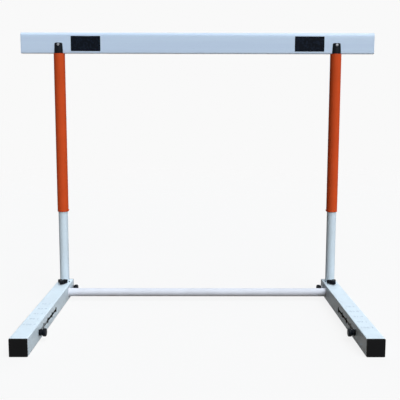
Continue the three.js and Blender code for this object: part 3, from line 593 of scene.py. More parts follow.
class Tree:
    """The nodes of a material or of the world."""

    def __init__(self, owner):
        owner.use_nodes = True
        self.nodes = owner.node_tree.nodes
        self.links = owner.node_tree.links
        self.nodes.clear()

    def node(self, kind, inputs, **settings):
        """A node whose inputs are linked to sockets or set to values."""
        node = self.nodes.new(kind)
        for setting, value in settings.items():
            setattr(node, setting, value)
        for socket, value in inputs.items():
            if isinstance(value, bpy.types.NodeSocket):
                self.links.new(value, node.inputs[socket])
            else:
                node.inputs[socket].default_value = value
        return node

    def ramp(self, value, start, end, low=0.0, high=1.0):
        inputs = {"Value": value, "From Min": start, "From Max": end, "To Min": low, "To Max": high}
        return self.node("ShaderNodeMapRange", inputs, interpolation_type="SMOOTHSTEP").outputs["Result"]

    def maths(self, operation, a, b):
        return self.node("ShaderNodeMath", {0: a, 1: b}, operation=operation).outputs["Value"]

    def times(self, a, b):
        return self.maths("MULTIPLY", a, b)

    def mix(self, factor, a, b):
        """A colour between two others, by the numbered sockets that a mix of colours uses."""
        return self.node("ShaderNodeMix", {0: factor, 6: a, 7: b}, data_type="RGBA").outputs[2]

    def blend(self, factor, first, second):
        """A shader between two others."""
        return self.node("ShaderNodeMixShader", {"Fac": factor, 1: first.outputs[0], 2: second.outputs[0]})

    def seen(self):
        """1 for the rays that see the backdrop: camera, glossy and transmission rays."""
        path = self.node("ShaderNodeLightPath", {})
        either = path.outputs["Is Camera Ray"]
        for ray in ("Is Glossy Ray", "Is Transmission Ray"):
            either = self.maths("MAXIMUM", either, path.outputs[ray])
        return either


class Finish(Tree):
    """A material under construction: its shader, and the nodes that its patterns are made of."""

    def __init__(self, name, **constants):
        finishes[name] = bpy.data.materials.new(name + "_finish")
        super().__init__(finishes[name])
        inputs = {socket.replace("_", " "): value for socket, value in constants.items()}
        self.shader = self.node("ShaderNodeBsdfPrincipled", inputs)
        self.node("ShaderNodeOutputMaterial", {"Surface": self.shader.outputs["BSDF"]})
        self.place = self.node("ShaderNodeTexCoord", {}).outputs["Object"]

    def noise(self, scale, detail, stretch=(1.0, 1.0, 1.0)):
        place = self.node("ShaderNodeMapping", {"Vector": self.place, "Scale": stretch}).outputs["Vector"]
        made = self.node("ShaderNodeTexNoise", {"Vector": place, "Scale": scale, "Detail": detail})
        return made.outputs["Fac"]

    def pattern(self, scale, detail, start, end, stretch=(1.0, 1.0, 1.0)):
        """Patches of noise, 0 below its start and 1 above its end."""
        return self.ramp(self.noise(scale, detail, stretch), start, end)

    def layer(self, under, mask, opacity, over):
        """A colour laid over another where a mask is bright."""
        return self.mix(self.times(mask, opacity), under, over)

    def height(self):
        return self.node("ShaderNodeSeparateXYZ", {"Vector": self.place}).outputs["Z"]

    def mark(self, name):
        """A value that the mesh stores at each vertex, 0 where it stores none."""
        return self.node("ShaderNodeAttribute", {}, attribute_name=name).outputs["Fac"]

    def colour(self, socket):
        self.links.new(socket, self.shader.inputs["Base Color"])

    def rough(self, scale, detail, low, high, start=0.2, end=0.8):
        """Roughness that wanders between two levels."""
        level = self.ramp(self.noise(scale, detail), start, end, low, high)
        self.links.new(level, self.shader.inputs["Roughness"])

    def relief(self, *layers):
        """Stacks bumps, each a (height, strength, distance) layer."""
        normal = None
        for height, strength, distance in layers:
            inputs = {"Height": height, "Strength": strength, "Distance": distance}
            if normal:
                inputs["Normal"] = normal
            normal = self.node("ShaderNodeBump", inputs).outputs["Normal"]
        self.links.new(normal, self.shader.inputs["Normal"])


def opaque(colour, level=1.0):
    return (*[min(1.0, channel * level) for channel in colour], 1.0)


def paint(name, colour, settings, chips, scuffs, gloss):
    """Powder coat: fine orange peel, uneven tone, dust and painted shade near the floor, scuffs, chips along
    the edges, and bare steel darkened as painted shade inside.
    """
    coat = Finish(name, Metallic=0.0, IOR=1.5, Specular_IOR_Level=gloss)
    tone = coat.mix(coat.pattern(14, 4, 0.35, 0.7), opaque(colour, 0.96), opaque(colour, 1.02))
    tone = coat.layer(tone, coat.pattern(1400, 1, 0.3, 0.7), 0.06, opaque(colour, 0.8))
    # Dust and painted shade: brown patches, thickest at the floor and thinning upwards.
    low = coat.ramp(coat.height(), *DUST_AND_SHADE_HEIGHTS, 1.0, 0.12)
    dust_and_shade_mask = coat.times(coat.pattern(40, 6, 0.5, 0.8), low)
    tone = coat.layer(tone, dust_and_shade_mask, 0.35, opaque(settings.dust_and_shade))
    streaks = coat.pattern(60, 5, 0.66, 0.74, stretch=(1.0, 1.0, 0.12))
    tone = coat.layer(tone, streaks, scuffs, opaque(colour, 0.62))
    worn = coat.times(coat.mark("edge_wear"), coat.pattern(190, 5, 0.6, 0.68))
    worn = coat.times(worn, chips)
    rusty = coat.mix(coat.pattern(90, 3, 0.5, 0.62), opaque(settings.bare_metal), opaque(settings.rust))
    # Painted shade: the dark inside colour, in uneven patches, where the mesh marks the inside and the
    # holes' cut edges.
    shaded_inside_tone = coat.mix(coat.pattern(35, 5, 0.4, 0.7), opaque(settings.inside), opaque(settings.inside, 1.8))
    coat.colour(coat.mix(coat.mark("inside"), coat.mix(worn, tone, rusty), shaded_inside_tone))
    coat.rough(120, 3, 0.34, 0.5)
    coat.relief((coat.noise(520, 2), 0.14, 0.3 * MM), (coat.maths("SUBTRACT", 1.0, worn), 0.6, 0.15 * MM))


def moulded(name, colour):
    """Moulded plastic: a fine grain, faint flow marks, scratches, and rubbed edges lightened as a painted
    edge highlight.
    """
    plastic = Finish(name, Metallic=0.0, IOR=1.48, Specular_IOR_Level=0.1)
    flow = plastic.pattern(22, 4, 0.3, 0.75, stretch=(1.0, 1.0, 0.5))
    tone = plastic.mix(flow, opaque(colour, 0.9), opaque(colour, 1.12))
    # Rubbing wear and a painted edge highlight: lighter colour along the sharp edges.
    rubbed_and_highlit = plastic.times(plastic.mark("edge_wear"), plastic.pattern(260, 4, 0.42, 0.7))
    tone = plastic.layer(tone, rubbed_and_highlit, 0.35, opaque(colour, 6.0))
    scratches = plastic.pattern(140, 6, 0.68, 0.75, stretch=(1.0, 0.2, 1.0))
    plastic.colour(plastic.layer(tone, scratches, 0.2, opaque(colour, 4.0)))
    plastic.rough(300, 3, 0.36, 0.5)
    plastic.relief((plastic.noise(850, 3), 0.2, 0.2 * MM))


def bar_plastic(settings):
    """Extruded plastic of the bar: faint draw lines along it, small rubs, a soft gloss."""
    gloss = {"Specular_IOR_Level": 0.25, "Coat_Weight": 0.2, "Coat_Roughness": 0.15}
    plastic = Finish("bar_plastic", Metallic=0.0, IOR=1.5, **gloss)
    drawn = plastic.noise(60, 4, (0.02, 1.0, 1.0))
    tone = plastic.mix(plastic.ramp(drawn, 0.3, 0.7), opaque(settings.bar, 0.97), opaque(settings.bar, 1.02))
    tone = plastic.layer(tone, plastic.pattern(7, 3, 0.4, 0.75), 0.25, opaque(settings.bar, 0.96))
    rubs = plastic.pattern(75, 6, 0.69, 0.75, stretch=(0.35, 1.0, 1.0))
    plastic.colour(plastic.layer(tone, rubs, 0.18, opaque(settings.bar, 0.72)))
    plastic.rough(160, 4, 0.26, 0.38)
    plastic.relief((drawn, 0.06, 0.3 * MM), (plastic.noise(700, 2), 0.05, 0.2 * MM))


def label(settings):
    """Satin film of the blank labels: fine pebble, faint creases and lifted lighter rims."""
    film = Finish("patch_black", Metallic=0.0, IOR=1.46, Specular_IOR_Level=0.06)
    tone = film.mix(film.pattern(30, 4, 0.35, 0.7), opaque(settings.patch), opaque(settings.patch, 1.4))
    lifted = film.times(film.mark("edge_wear"), film.pattern(150, 4, 0.45, 0.65))
    film.colour(film.layer(tone, lifted, 0.4, opaque(settings.patch, 6.0)))
    film.rough(200, 3, 0.5, 0.66)
    film.relief((film.noise(900, 2), 0.1, 0.1 * MM), (film.noise(18, 3), 0.12, 0.6 * MM))


def steel(name, colour, roughness):
    """Plated steel: fine turning lines and small dull spots."""
    metal = Finish(name, Metallic=1.0, Anisotropic=0.3)
    metal.colour(metal.layer(opaque(colour), metal.pattern(320, 5, 0.58, 0.7), 0.5, opaque(colour, 0.6)))
    metal.rough(500, 4, roughness - 0.07, roughness + 0.12, start=0.25)
    metal.relief((metal.noise(900, 2, (1.0, 1.0, 6.0)), 0.12, 0.05 * MM))


def iron(name, colour, settings, metallic):
    """Sand-cast iron: coarse skin, dark hollows and a breath of rust."""
    cast = Finish(name, Metallic=metallic, Specular_IOR_Level=0.25)
    tone = cast.mix(cast.pattern(160, 5, 0.3, 0.7), opaque(colour, 0.6), opaque(colour, 1.2))
    cast.colour(cast.layer(tone, cast.pattern(55, 6, 0.56, 0.7), 0.5, opaque(settings.rust, 0.6)))
    cast.rough(220, 3, 0.62, 0.85)
    cast.relief((cast.noise(420, 5), 0.5, 0.4 * MM))


def print_ink(settings):
    """Worn screen-printing ink."""
    ink = Finish("ink", Metallic=0.0, Roughness=0.55)
    ink.colour(ink.mix(ink.pattern(160, 5, 0.42, 0.62), opaque(settings.ink), opaque(settings.ink, 1.18)))
    ink.relief((ink.noise(700, 2), 0.1, 0.05 * MM))


class HURDLE_OT_finishes(Operator):
    """Make the finishes that the pieces share"""

    bl_idname = "hurdle.finishes"
    bl_label = "Finishes"

    def execute(self, context):
        settings = context.scene.hurdle_finish
        paint("white_paint", settings.white, settings, chips=0.75, scuffs=0.1, gloss=0.05)
        paint("crossbar_paint", settings.crossbar, settings, chips=0.75, scuffs=0.1, gloss=0.05)
        paint("orange_paint", settings.orange, settings, chips=0.8, scuffs=0.25, gloss=0.03)
        moulded("black_plastic", settings.black)
        moulded("knob_plastic", settings.knob)
        bar_plastic(settings)
        label(settings)
        steel("bright_steel", settings.steel, 0.3)
        steel("dark_steel", settings.dark_steel, 0.42)
        iron("cast_iron", settings.iron, settings, metallic=0.7)
        iron("grey_iron", settings.grey_iron, settings, metallic=0.0)
        print_ink(settings)
        return {"FINISHED"}


# The bar

# Facets between the bar's corners and round them, and between a label's corners
BAR_PARTS = 6
BAR_ARC_STEPS = 8
LABEL_PARTS = 12


def bar_outline(bar, lower_edge):
    """The bar's outline for any inset: a half round on top and two small radii below."""

    def outline(inset):
        half = bar.size.y / 2 - inset
        top = bar.size.z - inset
        lower = max(lower_edge - inset, GAP)
        corners = [(-half, inset, lower), (half, inset, lower), (half, top, half), (-half, top, half)]
        return filleted(corners, closed=True, parts=BAR_PARTS, steps=BAR_ARC_STEPS)

    return outline


class HURDLE_OT_bar(Operator):
    """Make the hollow bar, with its rounded top edge and a hole for each cap screw"""

    bl_idname = "hurdle.bar"
    bl_label = "Bar"

    def execute(self, context):
        settings = context.scene.hurdle_bar
        posts = context.scene.hurdle_posts
        bar = Place("bar")
        placed = along("X", (bar.low.x, bar.middle.y, bar.low.z))
        profile = wall_profile(settings.wall, 0.0, bar.size.x, GAP)
        made = loft("bar_body", bar_outline(bar, settings.lower_edge), profile, placed, joined=True)
        holes = []
        for name in SIDES:
            centre = Place(f"{name}_upper_tube").middle
            across = along("Y", (centre.x, bar.middle.y, bar.low.z + posts.bolt_height))
            holes.append(rod("hole", posts.bolt_hole, -bar.size.y, bar.size.y, across))
        carve(made, *holes)
        dress(made, "bar")
        return {"FINISHED"}


class HURDLE_OT_bar_caps(Operator):
    """Make the caps that close the bar's ends"""

    bl_idname = "hurdle.bar_caps"
    bl_label = "Bar caps"

    def execute(self, context):
        settings = context.scene.hurdle_bar
        bar = Place("bar")
        for name, side in SIDES.items():
            cap = Place(f"{name}_bar_cap")
            placed = along("X", (cap.end("x", side), bar.middle.y, bar.low.z), -side)
            insert = settings.wall + GAP
            bore = insert + settings.cap_wall
            profile = rim_profile(settings.cap_edge)
            profile += [
                (0.0, settings.cap_plate),
                (insert, settings.cap_plate),
                (insert, cap.size.x),
                (bore, cap.size.x),
                (bore, settings.cap_plate),
            ]
            made = loft(f"{name}_bar_cap_body", bar_outline(bar, settings.lower_edge), profile, placed)
            dress(made, f"{name}_bar_cap")
        return {"FINISHED"}


class HURDLE_OT_labels(Operator):
    """Make the blank black labels on the bar's front"""

    bl_idname = "hurdle.labels"
    bl_label = "Labels"

    def execute(self, context):
        settings = context.scene.hurdle_bar
        for name in SIDES:
            patch = Place(f"{name}_bar_patch")
            placed = along("Y", (patch.middle.x, patch.high.y, patch.middle.z), -1)
            edge = settings.patch_edge
            profile = [(0.0, 0.0), (0.0, patch.size.y - edge), (edge, patch.size.y)]
            outline = box_outline(patch.size.x, patch.size.z, settings.patch_corner, LABEL_PARTS)
            dress(loft(f"{name}_label", outline, profile, placed), f"{name}_bar_patch")
        return {"FINISHED"}


# The posts

BUTTON_SHOULDER = 1.5 * MM
BUTTON_FLANGE = 1 * MM
BUTTON_DOME = 1.6 * MM
SCREW_HEAD = 2.8 * MM
NUT_HEX = 3 * MM


def hole_cutter(outline, chamfer, depth, placed, surface):
    """A cutter for a hole of any outline whose mouth, at the surface, is chamfered."""
    profile = [
        (0.0, surface - depth),
        (0.0, surface - chamfer),
        (-chamfer, surface),
        (-chamfer - depth, surface + depth),
    ]
    return loft("hole", outline, profile, placed)


def drill(radius, chamfer, depth, placed, surface):
    """A cutter for a round hole whose mouth is chamfered."""
    return hole_cutter(round_outline(radius, SMALL_TURN_STEPS), chamfer, depth, placed, surface)


def drilled_tube(name, piece, part, wall, heights, chamfer, settings):
    """Makes an upright tube in the place of one side's part, drilled through its inner side."""
    place = Place(f"{name}_{part}")
    radius = place.size.y / 2
    profile = wall_profile(wall, place.low.z, place.high.z, settings.rim)
    made = loft(f"{name}_{piece}", round_outline(radius), profile, upright(place), joined=True)
    holes = []
    for height in heights:
        placed = inwards(place, place.middle.y, height, SIDES[name])
        holes.append(drill(settings.hole, chamfer, radius, placed, radius))
    carve(made, *holes)
    # Painted shade: the bore and the cut edges of the holes take the dark inside colour.
    mark_shaded_inside(made.data, lambda point: (point - place.middle).xy.length < radius - wall / 2)
    dress(made, f"{name}_{part}")


class HURDLE_OT_outer_tubes(Operator):
    """Make the orange outer tubes, with their height holes and the rivets that hold their guide bushes"""

    bl_idname = "hurdle.outer_tubes"
    bl_label = "Outer tubes"

    def execute(self, context):
        settings = context.scene.hurdle_posts
        low, high = JOINTS["height_slide"]["range_m"]
        pitch = (high - low) / (settings.hole_count - 1)
        for name, side in SIDES.items():
            place, button = places(name, "upper_tube", "height_button")
            heights = [button.middle.z + low + i * pitch for i in range(settings.hole_count)]
            wall, chamfer = settings.outer_wall, settings.hole_chamfer
            drilled_tube(name, "outer_tube", "upper_tube", wall, heights, chamfer, settings)
            self.rivet(name, side, place, settings)
        return {"FINISHED"}

    def rivet(self, name, side, place, settings):
        """A low domed rivet on the inner side of the tube's lower end."""
        placed = inwards(place, place.middle.y, place.low.z + settings.rivet_rise, side)
        seat = place.size.y / 2 - settings.outer_wall / 2
        top = place.size.y / 2 + settings.rivet_height
        corners = [(settings.rivet, seat, 0), (settings.rivet, top, settings.rivet_height), (0, top, 0)]
        made = turned(f"{name}_bush_rivet", corners, placed)
        shade(made, "orange_paint", "upper")


class HURDLE_OT_inner_tubes(Operator):
    """Make the white inner tubes, their height buttons and the guide bushes round them"""

    bl_idname = "hurdle.inner_tubes"
    bl_label = "Inner tubes"

    def execute(self, context):
        settings = context.scene.hurdle_posts
        knobs = context.scene.hurdle_knobs
        for name, side in SIDES.items():
            post, bush, button, lock = places(name, "lower_post", "guide_bush", "height_button", "lock_pin")
            heights = (button.middle.z, lock.middle.z)
            drilled_tube(name, "inner_tube", "lower_post", settings.inner_wall, heights, GAP, settings)
            edge = knobs.small_edge
            span = (post.size.y / 2 + GAP, bush.size.y / 2, bush.low.z, bush.high.z)
            dress(ring(f"{name}_bush", *span, upright(bush), edge, edge, TURN_STEPS), f"{name}_guide_bush")
            self.button(name, side, button, post)
        return {"FINISHED"}

    def button(self, name, side, button, post):
        """The domed pin with its flange, seen in the outer tube's hole."""
        placed = inwards(post, button.middle.y, button.middle.z, side)
        tip = button.reach(post)[1]
        back = tip - button.size.x
        flange = button.size.y / 2
        pin = flange - BUTTON_SHOULDER
        step = back + BUTTON_FLANGE
        corners = [(flange, back, 0), (flange, step, 0), (pin, step, 0), (pin, tip, BUTTON_DOME)]
        dress(spindle(f"{name}_button_pin", corners, placed), f"{name}_height_button")


class HURDLE_OT_top_plugs(Operator):
    """Make the forked plugs whose tongues grip the bar"""

    bl_idname = "hurdle.top_plugs"
    bl_label = "Top plugs"

    def execute(self, context):
        settings = context.scene.hurdle_posts
        bar = Place("bar")
        for name in SIDES:
            plug, post = places(name, "top_plug", "upper_tube")
            radius = post.size.y / 2
            stem = radius - settings.outer_wall - GAP
            corners = [
                (stem, plug.low.z, GAP),
                (stem, bar.low.z, 0),
                (radius, bar.low.z, settings.plug_edge),
                (radius - settings.plug_taper, plug.high.z, settings.plug_round),
            ]
            made = spindle(f"{name}_fork", corners, upright(post), TURN_STEPS)
            grip = bar.size.y / 2 + GAP
            reach = radius + OVERRUN
            x, y = post.middle.xy
            low = (x - reach, y - grip, bar.low.z - GAP)
            high = (x + reach, y + grip, plug.high.z + OVERRUN)
            centre = (x, y, bar.low.z + settings.bolt_height)
            hole = rod("hole", settings.bolt_hole, -reach, reach, along("Y", centre))
            cutters = [block("slot", low, high), hole]
            seat = bar.size.y / 2 + settings.seat_depth
            for sense in (1, -1):
                cutters.append(rod("seat", settings.seat_radius, seat, reach, along("Y", centre, sense)))
            carve(made, *cutters)
            soften(made, settings.plug_edge)
            dress(made, f"{name}_top_plug")
        return {"FINISHED"}


class HURDLE_OT_bar_fasteners(Operator):
    """Make the cap screws in front of the bar and the cap nuts behind it"""

    bl_idname = "hurdle.bar_fasteners"
    bl_label = "Bar fasteners"

    def execute(self, context):
        settings = context.scene.hurdle_posts
        knobs = context.scene.hurdle_knobs
        for name in SIDES:
            screw, nut = places(name, "bar_screw", "bar_nut")
            placed = along("Y", (screw.middle.x, screw.low.y, screw.middle.z))
            head, shank = screw.size.x / 2, settings.bolt_hole - GAP
            corners = [(head, 0, SCREW_HEAD / 2), (head, SCREW_HEAD, 0)]
            corners += [(shank, SCREW_HEAD, 0), (shank, screw.size.y, GAP)]
            made = spindle(f"{name}_cap_screw", corners, placed)
            socket = [(0, -OVERRUN), (0, settings.socket_depth)]
            carve(made, loft("key", round_outline(settings.socket, HEX_SIDES), socket, placed))
            dress(made, f"{name}_bar_screw")

            placed = along("Y", (nut.middle.x, nut.low.y, nut.middle.z))
            flats = nut.size.z / 2
            edge = knobs.small_edge
            profile = [(edge, 0), (0, edge), (0, NUT_HEX - edge), (edge, NUT_HEX)]
            made = loft(f"{name}_cap_nut", round_outline(nut.size.x / 2, HEX_SIDES), profile, placed)
            side = flats - edge
            dome = [(side, NUT_HEX / 2, 0), (side, nut.size.y, flats / 2), (0, nut.size.y, 0)]
            fuse(made, turned("dome", dome, placed))
            dress(made, f"{name}_bar_nut")
        return {"FINISHED"}


# The feet and crossbar

# Facets between a foot's corners, and across and round a weld bead
FOOT_PARTS = 8
BEAD_PARTS = 4
BEAD_STEPS = 128
SOCKET_SCREW_RADIUS = 1.6 * MM
FERRULE_SLEEVE = 7.5 * MM
PLUG_CROWN = 0.3 * MM
PLUG_LAND = 1.5 * MM
# How high a figure stands within its type size, and how finely it is drawn
CAPITAL_SHARE = 0.7
LETTER_STEPS = 4


class HURDLE_OT_feet(Operator):
    """Make the box-section feet, with the holes for post and clamp and the slot of the counterweight"""

    bl_idname = "hurdle.feet"
    bl_label = "Feet"

    def execute(self, context):
        settings = context.scene.hurdle_feet
        for name, side in SIDES.items():
            foot = Place(f"{name}_foot")
            placed = along("Y", (foot.middle.x, foot.low.y, foot.middle.z))
            profile = wall_profile(settings.wall, 0.0, foot.size.y, GAP)
            outline = box_outline(foot.size.x, foot.size.z, settings.corner, FOOT_PARTS)
            flat = foot.size.x / 2 - settings.corner

            # Painted shade: the bore and the cut edges of the holes, deeper than the outer face, take the
            # dark inside colour.
            def inside(point):
                """Tells whether a point lies deeper than the outer face of the box."""
                across = max(abs(point.x - foot.middle.x) - flat, 0.0)
                up = max(abs(point.z - foot.middle.z) - flat, 0.0)
                return settings.corner - math.hypot(across, up) > GAP / 2

            made = loft(f"{name}_foot_box", outline, profile, placed, joined=True)
            carve(made, *self.top_holes(name, foot), *self.wall_holes(name, side, foot, settings))
            mark_shaded_inside(made.data, inside)
            dress(made, f"{name}_foot")
        return {"FINISHED"}

    def top_holes(self, name, foot):
        """Cutters for the post, the clamp bolt and the socket screw."""
        post, bolt, screw = places(name, "lower_post", "clamp_bolt", "socket_screw")
        holes = [(post, post.size.x / 2), (bolt, bolt.size.x / 2), (screw, SOCKET_SCREW_RADIUS)]
        depth, top = foot.size.z / 2, foot.high.z
        return [drill(radius + GAP, GAP, depth, upright(place), top) for place, radius in holes]

    def wall_holes(self, name, side, foot, settings):
        """Cutters for the post lock's ferrule and for the scalloped slot, through the inner wall."""
        lock, weight = places(name, "lock_pin", "weight_pin")
        half = foot.size.x / 2
        low, high = JOINTS[f"{name}_counterweight_slide"]["range_m"]
        pitch = (high - low) / (settings.stops - 1)
        holes = [(lock.middle.y, FERRULE_SLEEVE + GAP)]
        for y in stations(weight.middle.y + low, weight.middle.y + high, pitch):
            holes.append((y, settings.stop_hole))
        cutters = []
        for y, radius in holes:
            cutters.append(drill(radius, GAP, half, inwards(foot, y, foot.middle.z, side), half))
        neck = box_outline(high - low, settings.slot_neck, GAP)
        placed = inwards(foot, weight.middle.y + (low + high) / 2, foot.middle.z, side)
        cutters.append(hole_cutter(neck, GAP, half, placed, half))
        return cutters


class HURDLE_OT_end_plugs(Operator):
    """Make the black plugs in the ends of the feet"""

    bl_idname = "hurdle.end_plugs"
    bl_label = "End plugs"

    def execute(self, context):
        settings = context.scene.hurdle_feet
        for name in SIDES:
            foot = Place(f"{name}_foot")
            for end, sense in {"front": 1, "rear": -1}.items():
                node = f"{name}_{end}_plug"
                plug = Place(node)
                face = plug.end("y", -sense)
                root = foot.end("y", -sense) - sense * GAP
                flange = abs(root - face)
                edge = settings.plug_edge
                insert = settings.wall + GAP
                profile = [(plug.size.x / 4, -PLUG_CROWN), (edge + PLUG_LAND, -PLUG_CROWN / 2)]
                profile += rim_profile(edge)
                profile += [(0.0, flange), (insert, flange), (insert, plug.size.y)]
                profile = [(inset, s + PLUG_CROWN if s < edge else s) for inset, s in profile]
                placed = along("Y", (plug.middle.x, face, plug.middle.z), sense)
                outline = box_outline(plug.size.x, plug.size.z, settings.corner, FOOT_PARTS)
                dress(loft(f"{name}_{end}_plug_body", outline, profile, placed), node)
        return {"FINISHED"}


class HURDLE_OT_crossbar(Operator):
    """Make the crossbar, with a rippled weld bead where it meets each foot"""

    bl_idname = "hurdle.crossbar"
    bl_label = "Crossbar"

    def execute(self, context):
        settings = context.scene.hurdle_feet
        bar = Place("crossbar")
        bead, wall = settings.bead, settings.crossbar_wall
        radius = bar.size.z / 2 - bead
        placed = along("X", (bar.low.x, bar.middle.y, bar.middle.z))
        weld = [(-self.flare(s, bead), s) for s in stations(0.0, bead, bead / BEAD_PARTS)]
        middle = stations(bead, bar.size.x - bead)[1:-1]
        profile = weld + [(0.0, s) for s in middle]
        profile += [(inset, bar.size.x - s) for inset, s in reversed(weld)]
        profile += [(wall, bar.size.x), (wall, 0.0)]

        def outline(inset):
            swell = settings.ripple if inset < 0 else 0.0
            points = circle(radius - inset, BEAD_STEPS)
            waves = [abs(math.sin(settings.ripples * math.pi * k / len(points))) for k in range(len(points))]
            return [p * (1 - swell * wave / radius) for p, wave in zip(points, waves)]

        dress(loft("crossbar_tube", outline, profile, placed, joined=True), "crossbar")
        return {"FINISHED"}

    def flare(self, distance, bead):
        """How far the weld bead stands off the tube at a distance from its end: a hollow quarter round."""
        return bead - math.sqrt(max(0.0, bead**2 - (bead - distance) ** 2))


class HURDLE_OT_marks(Operator):
    """Print a plain height number on top of each foot for each stop of its counterweight"""

    bl_idname = "hurdle.marks"
    bl_label = "Height numbers"

    def execute(self, context):
        settings = context.scene.hurdle_feet
        low, high = JOINTS["height_slide"]["range_m"]
        heights = stations(cad_box[1].z + low, cad_box[1].z + high, (high - low) / (settings.stops - 1))
        shifts = {"left": settings.left_print_shift, "right": settings.right_print_shift}
        for name in SIDES:
            foot, weight = places(name, "foot", "weight_pin")
            rear = weight.middle.y + JOINTS[f"{name}_counterweight_slide"]["range_m"][1] - shifts[name]
            for i, height in enumerate(heights):
                y = rear - i * settings.print_pitch
                self.number(f"{name}_number_{i + 1}", f"{height / CM:.1f}", foot, y, settings)
        return {"FINISHED"}

    def number(self, name, text, foot, y, settings):
        """Raised ink of one number, in centimetres, as one mesh."""
        letters = bpy.data.curves.new(name, "FONT")
        letters.body = text
        letters.size = settings.number_height / CAPITAL_SHARE
        letters.align_x = "CENTER"
        letters.align_y = "CENTER"
        letters.extrude = settings.print_thickness / 2
        letters.resolution_u = LETTER_STEPS
        made = linked("letters", letters)
        made.location = (foot.middle.x, y, foot.high.z + settings.print_thickness / 2)
        bpy.context.view_layer.update()
        mesh = solid_mesh(made)
        mesh.transform(made.matrix_world)
        bpy.data.curves.remove(letters)
        mesh.materials.clear()
        mesh.materials.append(finishes["ink"])
        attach(linked(name, mesh), "base")


# The clamps, locks and counterweight knobs

LOBE_STEPS = 72
# How much of the height of a screw's head is rounded
PAN_SHARE = 0.7
SLIT_WIDTH = 0.8 * MM
SLIT_DEPTH = 1 * MM
FERRULE_BORE = 5.5 * MM
FERRULE_ROOF = 1.6 * MM
LOCK_SHANK = 3 * MM
COLLAR = 2.7 * MM
COLLAR_RADIUS = 8.2 * MM
FLANGE = 3 * MM
FLANGE_RADIUS = 9.8 * MM
WAIST = 6 * MM
WAIST_RADIUS = 6 * MM


class HURDLE_OT_clamps(Operator):
    """Make the three-lobed clamp knobs, their bolts and washers, and the small socket screws"""

    bl_idname = "hurdle.clamps"
    bl_label = "Clamps"

    def execute(self, context):
        settings = context.scene.hurdle_knobs
        turns = {"left": settings.left_turn, "right": settings.right_turn}
        for name in SIDES:
            self.knob(name, turns[name], settings)
            self.small_parts(name, settings)
        return {"FINISHED"}

    def knob(self, name, turn, settings):
        knob, bolt = places(name, "clamp_knob", "clamp_bolt")
        placed = along("Z", (bolt.middle.x, bolt.middle.y, knob.low.z))

        def lobed(inset):
            points = []
            for direction in circle(1.0, LOBE_STEPS):
                angle = math.atan2(direction.y, direction.x)
                swell = settings.lobe * math.cos(settings.lobes * (angle - turn))
                points.append(direction * (settings.lobe_radius + swell - inset))
            return points

        top, under = knob.size.z, knob.size.z - settings.knob_height
        edge, groove = settings.knob_edge, settings.small_edge * 2
        rim = filleted([(edge * 2, under, 0), (0, under, edge), (0, top, edge), (edge * 2, top + GAP, 0)])
        made = loft(f"{name}_lobed_knob", lobed, pairs_of(rim), placed)
        fuse(made, stud("hub", settings.hub, 0, under + edge, placed, settings.small_edge))
        carve(made, ring("groove", settings.cap, settings.cap + groove, top - groove, top + OVERRUN, placed))
        dress(made, f"{name}_clamp_knob")

    def small_parts(self, name, settings):
        edge = settings.small_edge
        washer, bolt, screw = places(name, "clamp_washer", "clamp_bolt", "socket_screw")
        span = (bolt.size.x / 2 + GAP, washer.size.x / 2, washer.low.z, washer.high.z)
        dress(ring(f"{name}_washer", *span, upright(washer), edge), f"{name}_clamp_washer")
        made = stud(f"{name}_clamp_stud", bolt.size.x / 2, bolt.low.z, bolt.high.z, upright(bolt), edge)
        dress(made, f"{name}_clamp_bolt")

        head, seat = screw.size.x / 2, washer.low.z
        corners = [(SOCKET_SCREW_RADIUS, screw.low.z, 0), (SOCKET_SCREW_RADIUS, seat, 0)]
        corners += [(head, seat, 0), (head, screw.high.z, (screw.high.z - seat) * PAN_SHARE)]
        made = spindle(f"{name}_pan_screw", corners, upright(screw))
        reach, half = head + OVERRUN, SLIT_WIDTH / 2
        x, y = screw.middle.xy
        low = (x - reach, y - half, screw.high.z - SLIT_DEPTH)
        high = (x + reach, y + half, screw.high.z + OVERRUN)
        carve(made, block("slit", low, high))
        dress(made, f"{name}_socket_screw")


class HURDLE_OT_post_locks(Operator):
    """Make the hexagonal ferrules and the pull knobs of the locks that hold the posts in the feet"""

    bl_idname = "hurdle.post_locks"
    bl_label = "Post locks"

    def execute(self, context):
        settings = context.scene.hurdle_knobs
        edge = settings.small_edge
        for name, side in SIDES.items():
            foot, knob, pin, ferrule = places(name, "foot", "lock_knob", "lock_pin", "lock_ferrule")
            placed = inwards(foot, pin.middle.y, pin.middle.z, side)
            tip, end = ferrule.reach(foot)
            back, front = knob.reach(foot)
            face = foot.size.x / 2 + GAP

            made = stud(f"{name}_hex_ferrule", FERRULE_SLEEVE, tip, face + edge, placed, edge)
            corner = ferrule.size.z / 2 / math.cos(math.pi / HEX_SIDES)
            profile = [(edge * 2, face), (0, face + edge), (0, end - edge * 2), (edge * 3, end)]
            fuse(made, loft("hex", round_outline(corner, HEX_SIDES), profile, placed))
            well = rod("well", FERRULE_BORE, tip - OVERRUN, end - FERRULE_ROOF, placed)
            carve(made, well, rod("bore", LOCK_SHANK + GAP, tip - OVERRUN, end + OVERRUN, placed))
            dress(made, f"{name}_lock_ferrule")

            corners = [
                (settings.neck / 2, back, 0),
                (settings.neck, back, edge),
                (knob.size.z / 2, back + settings.lock_edge, settings.lock_edge),
                (knob.size.z / 2, front, settings.lock_edge),
                (0, front - edge, 0),
            ]
            dress(turned(f"{name}_lock_grip", corners, placed, TURN_STEPS), f"{name}_lock_knob")
        return {"FINISHED"}


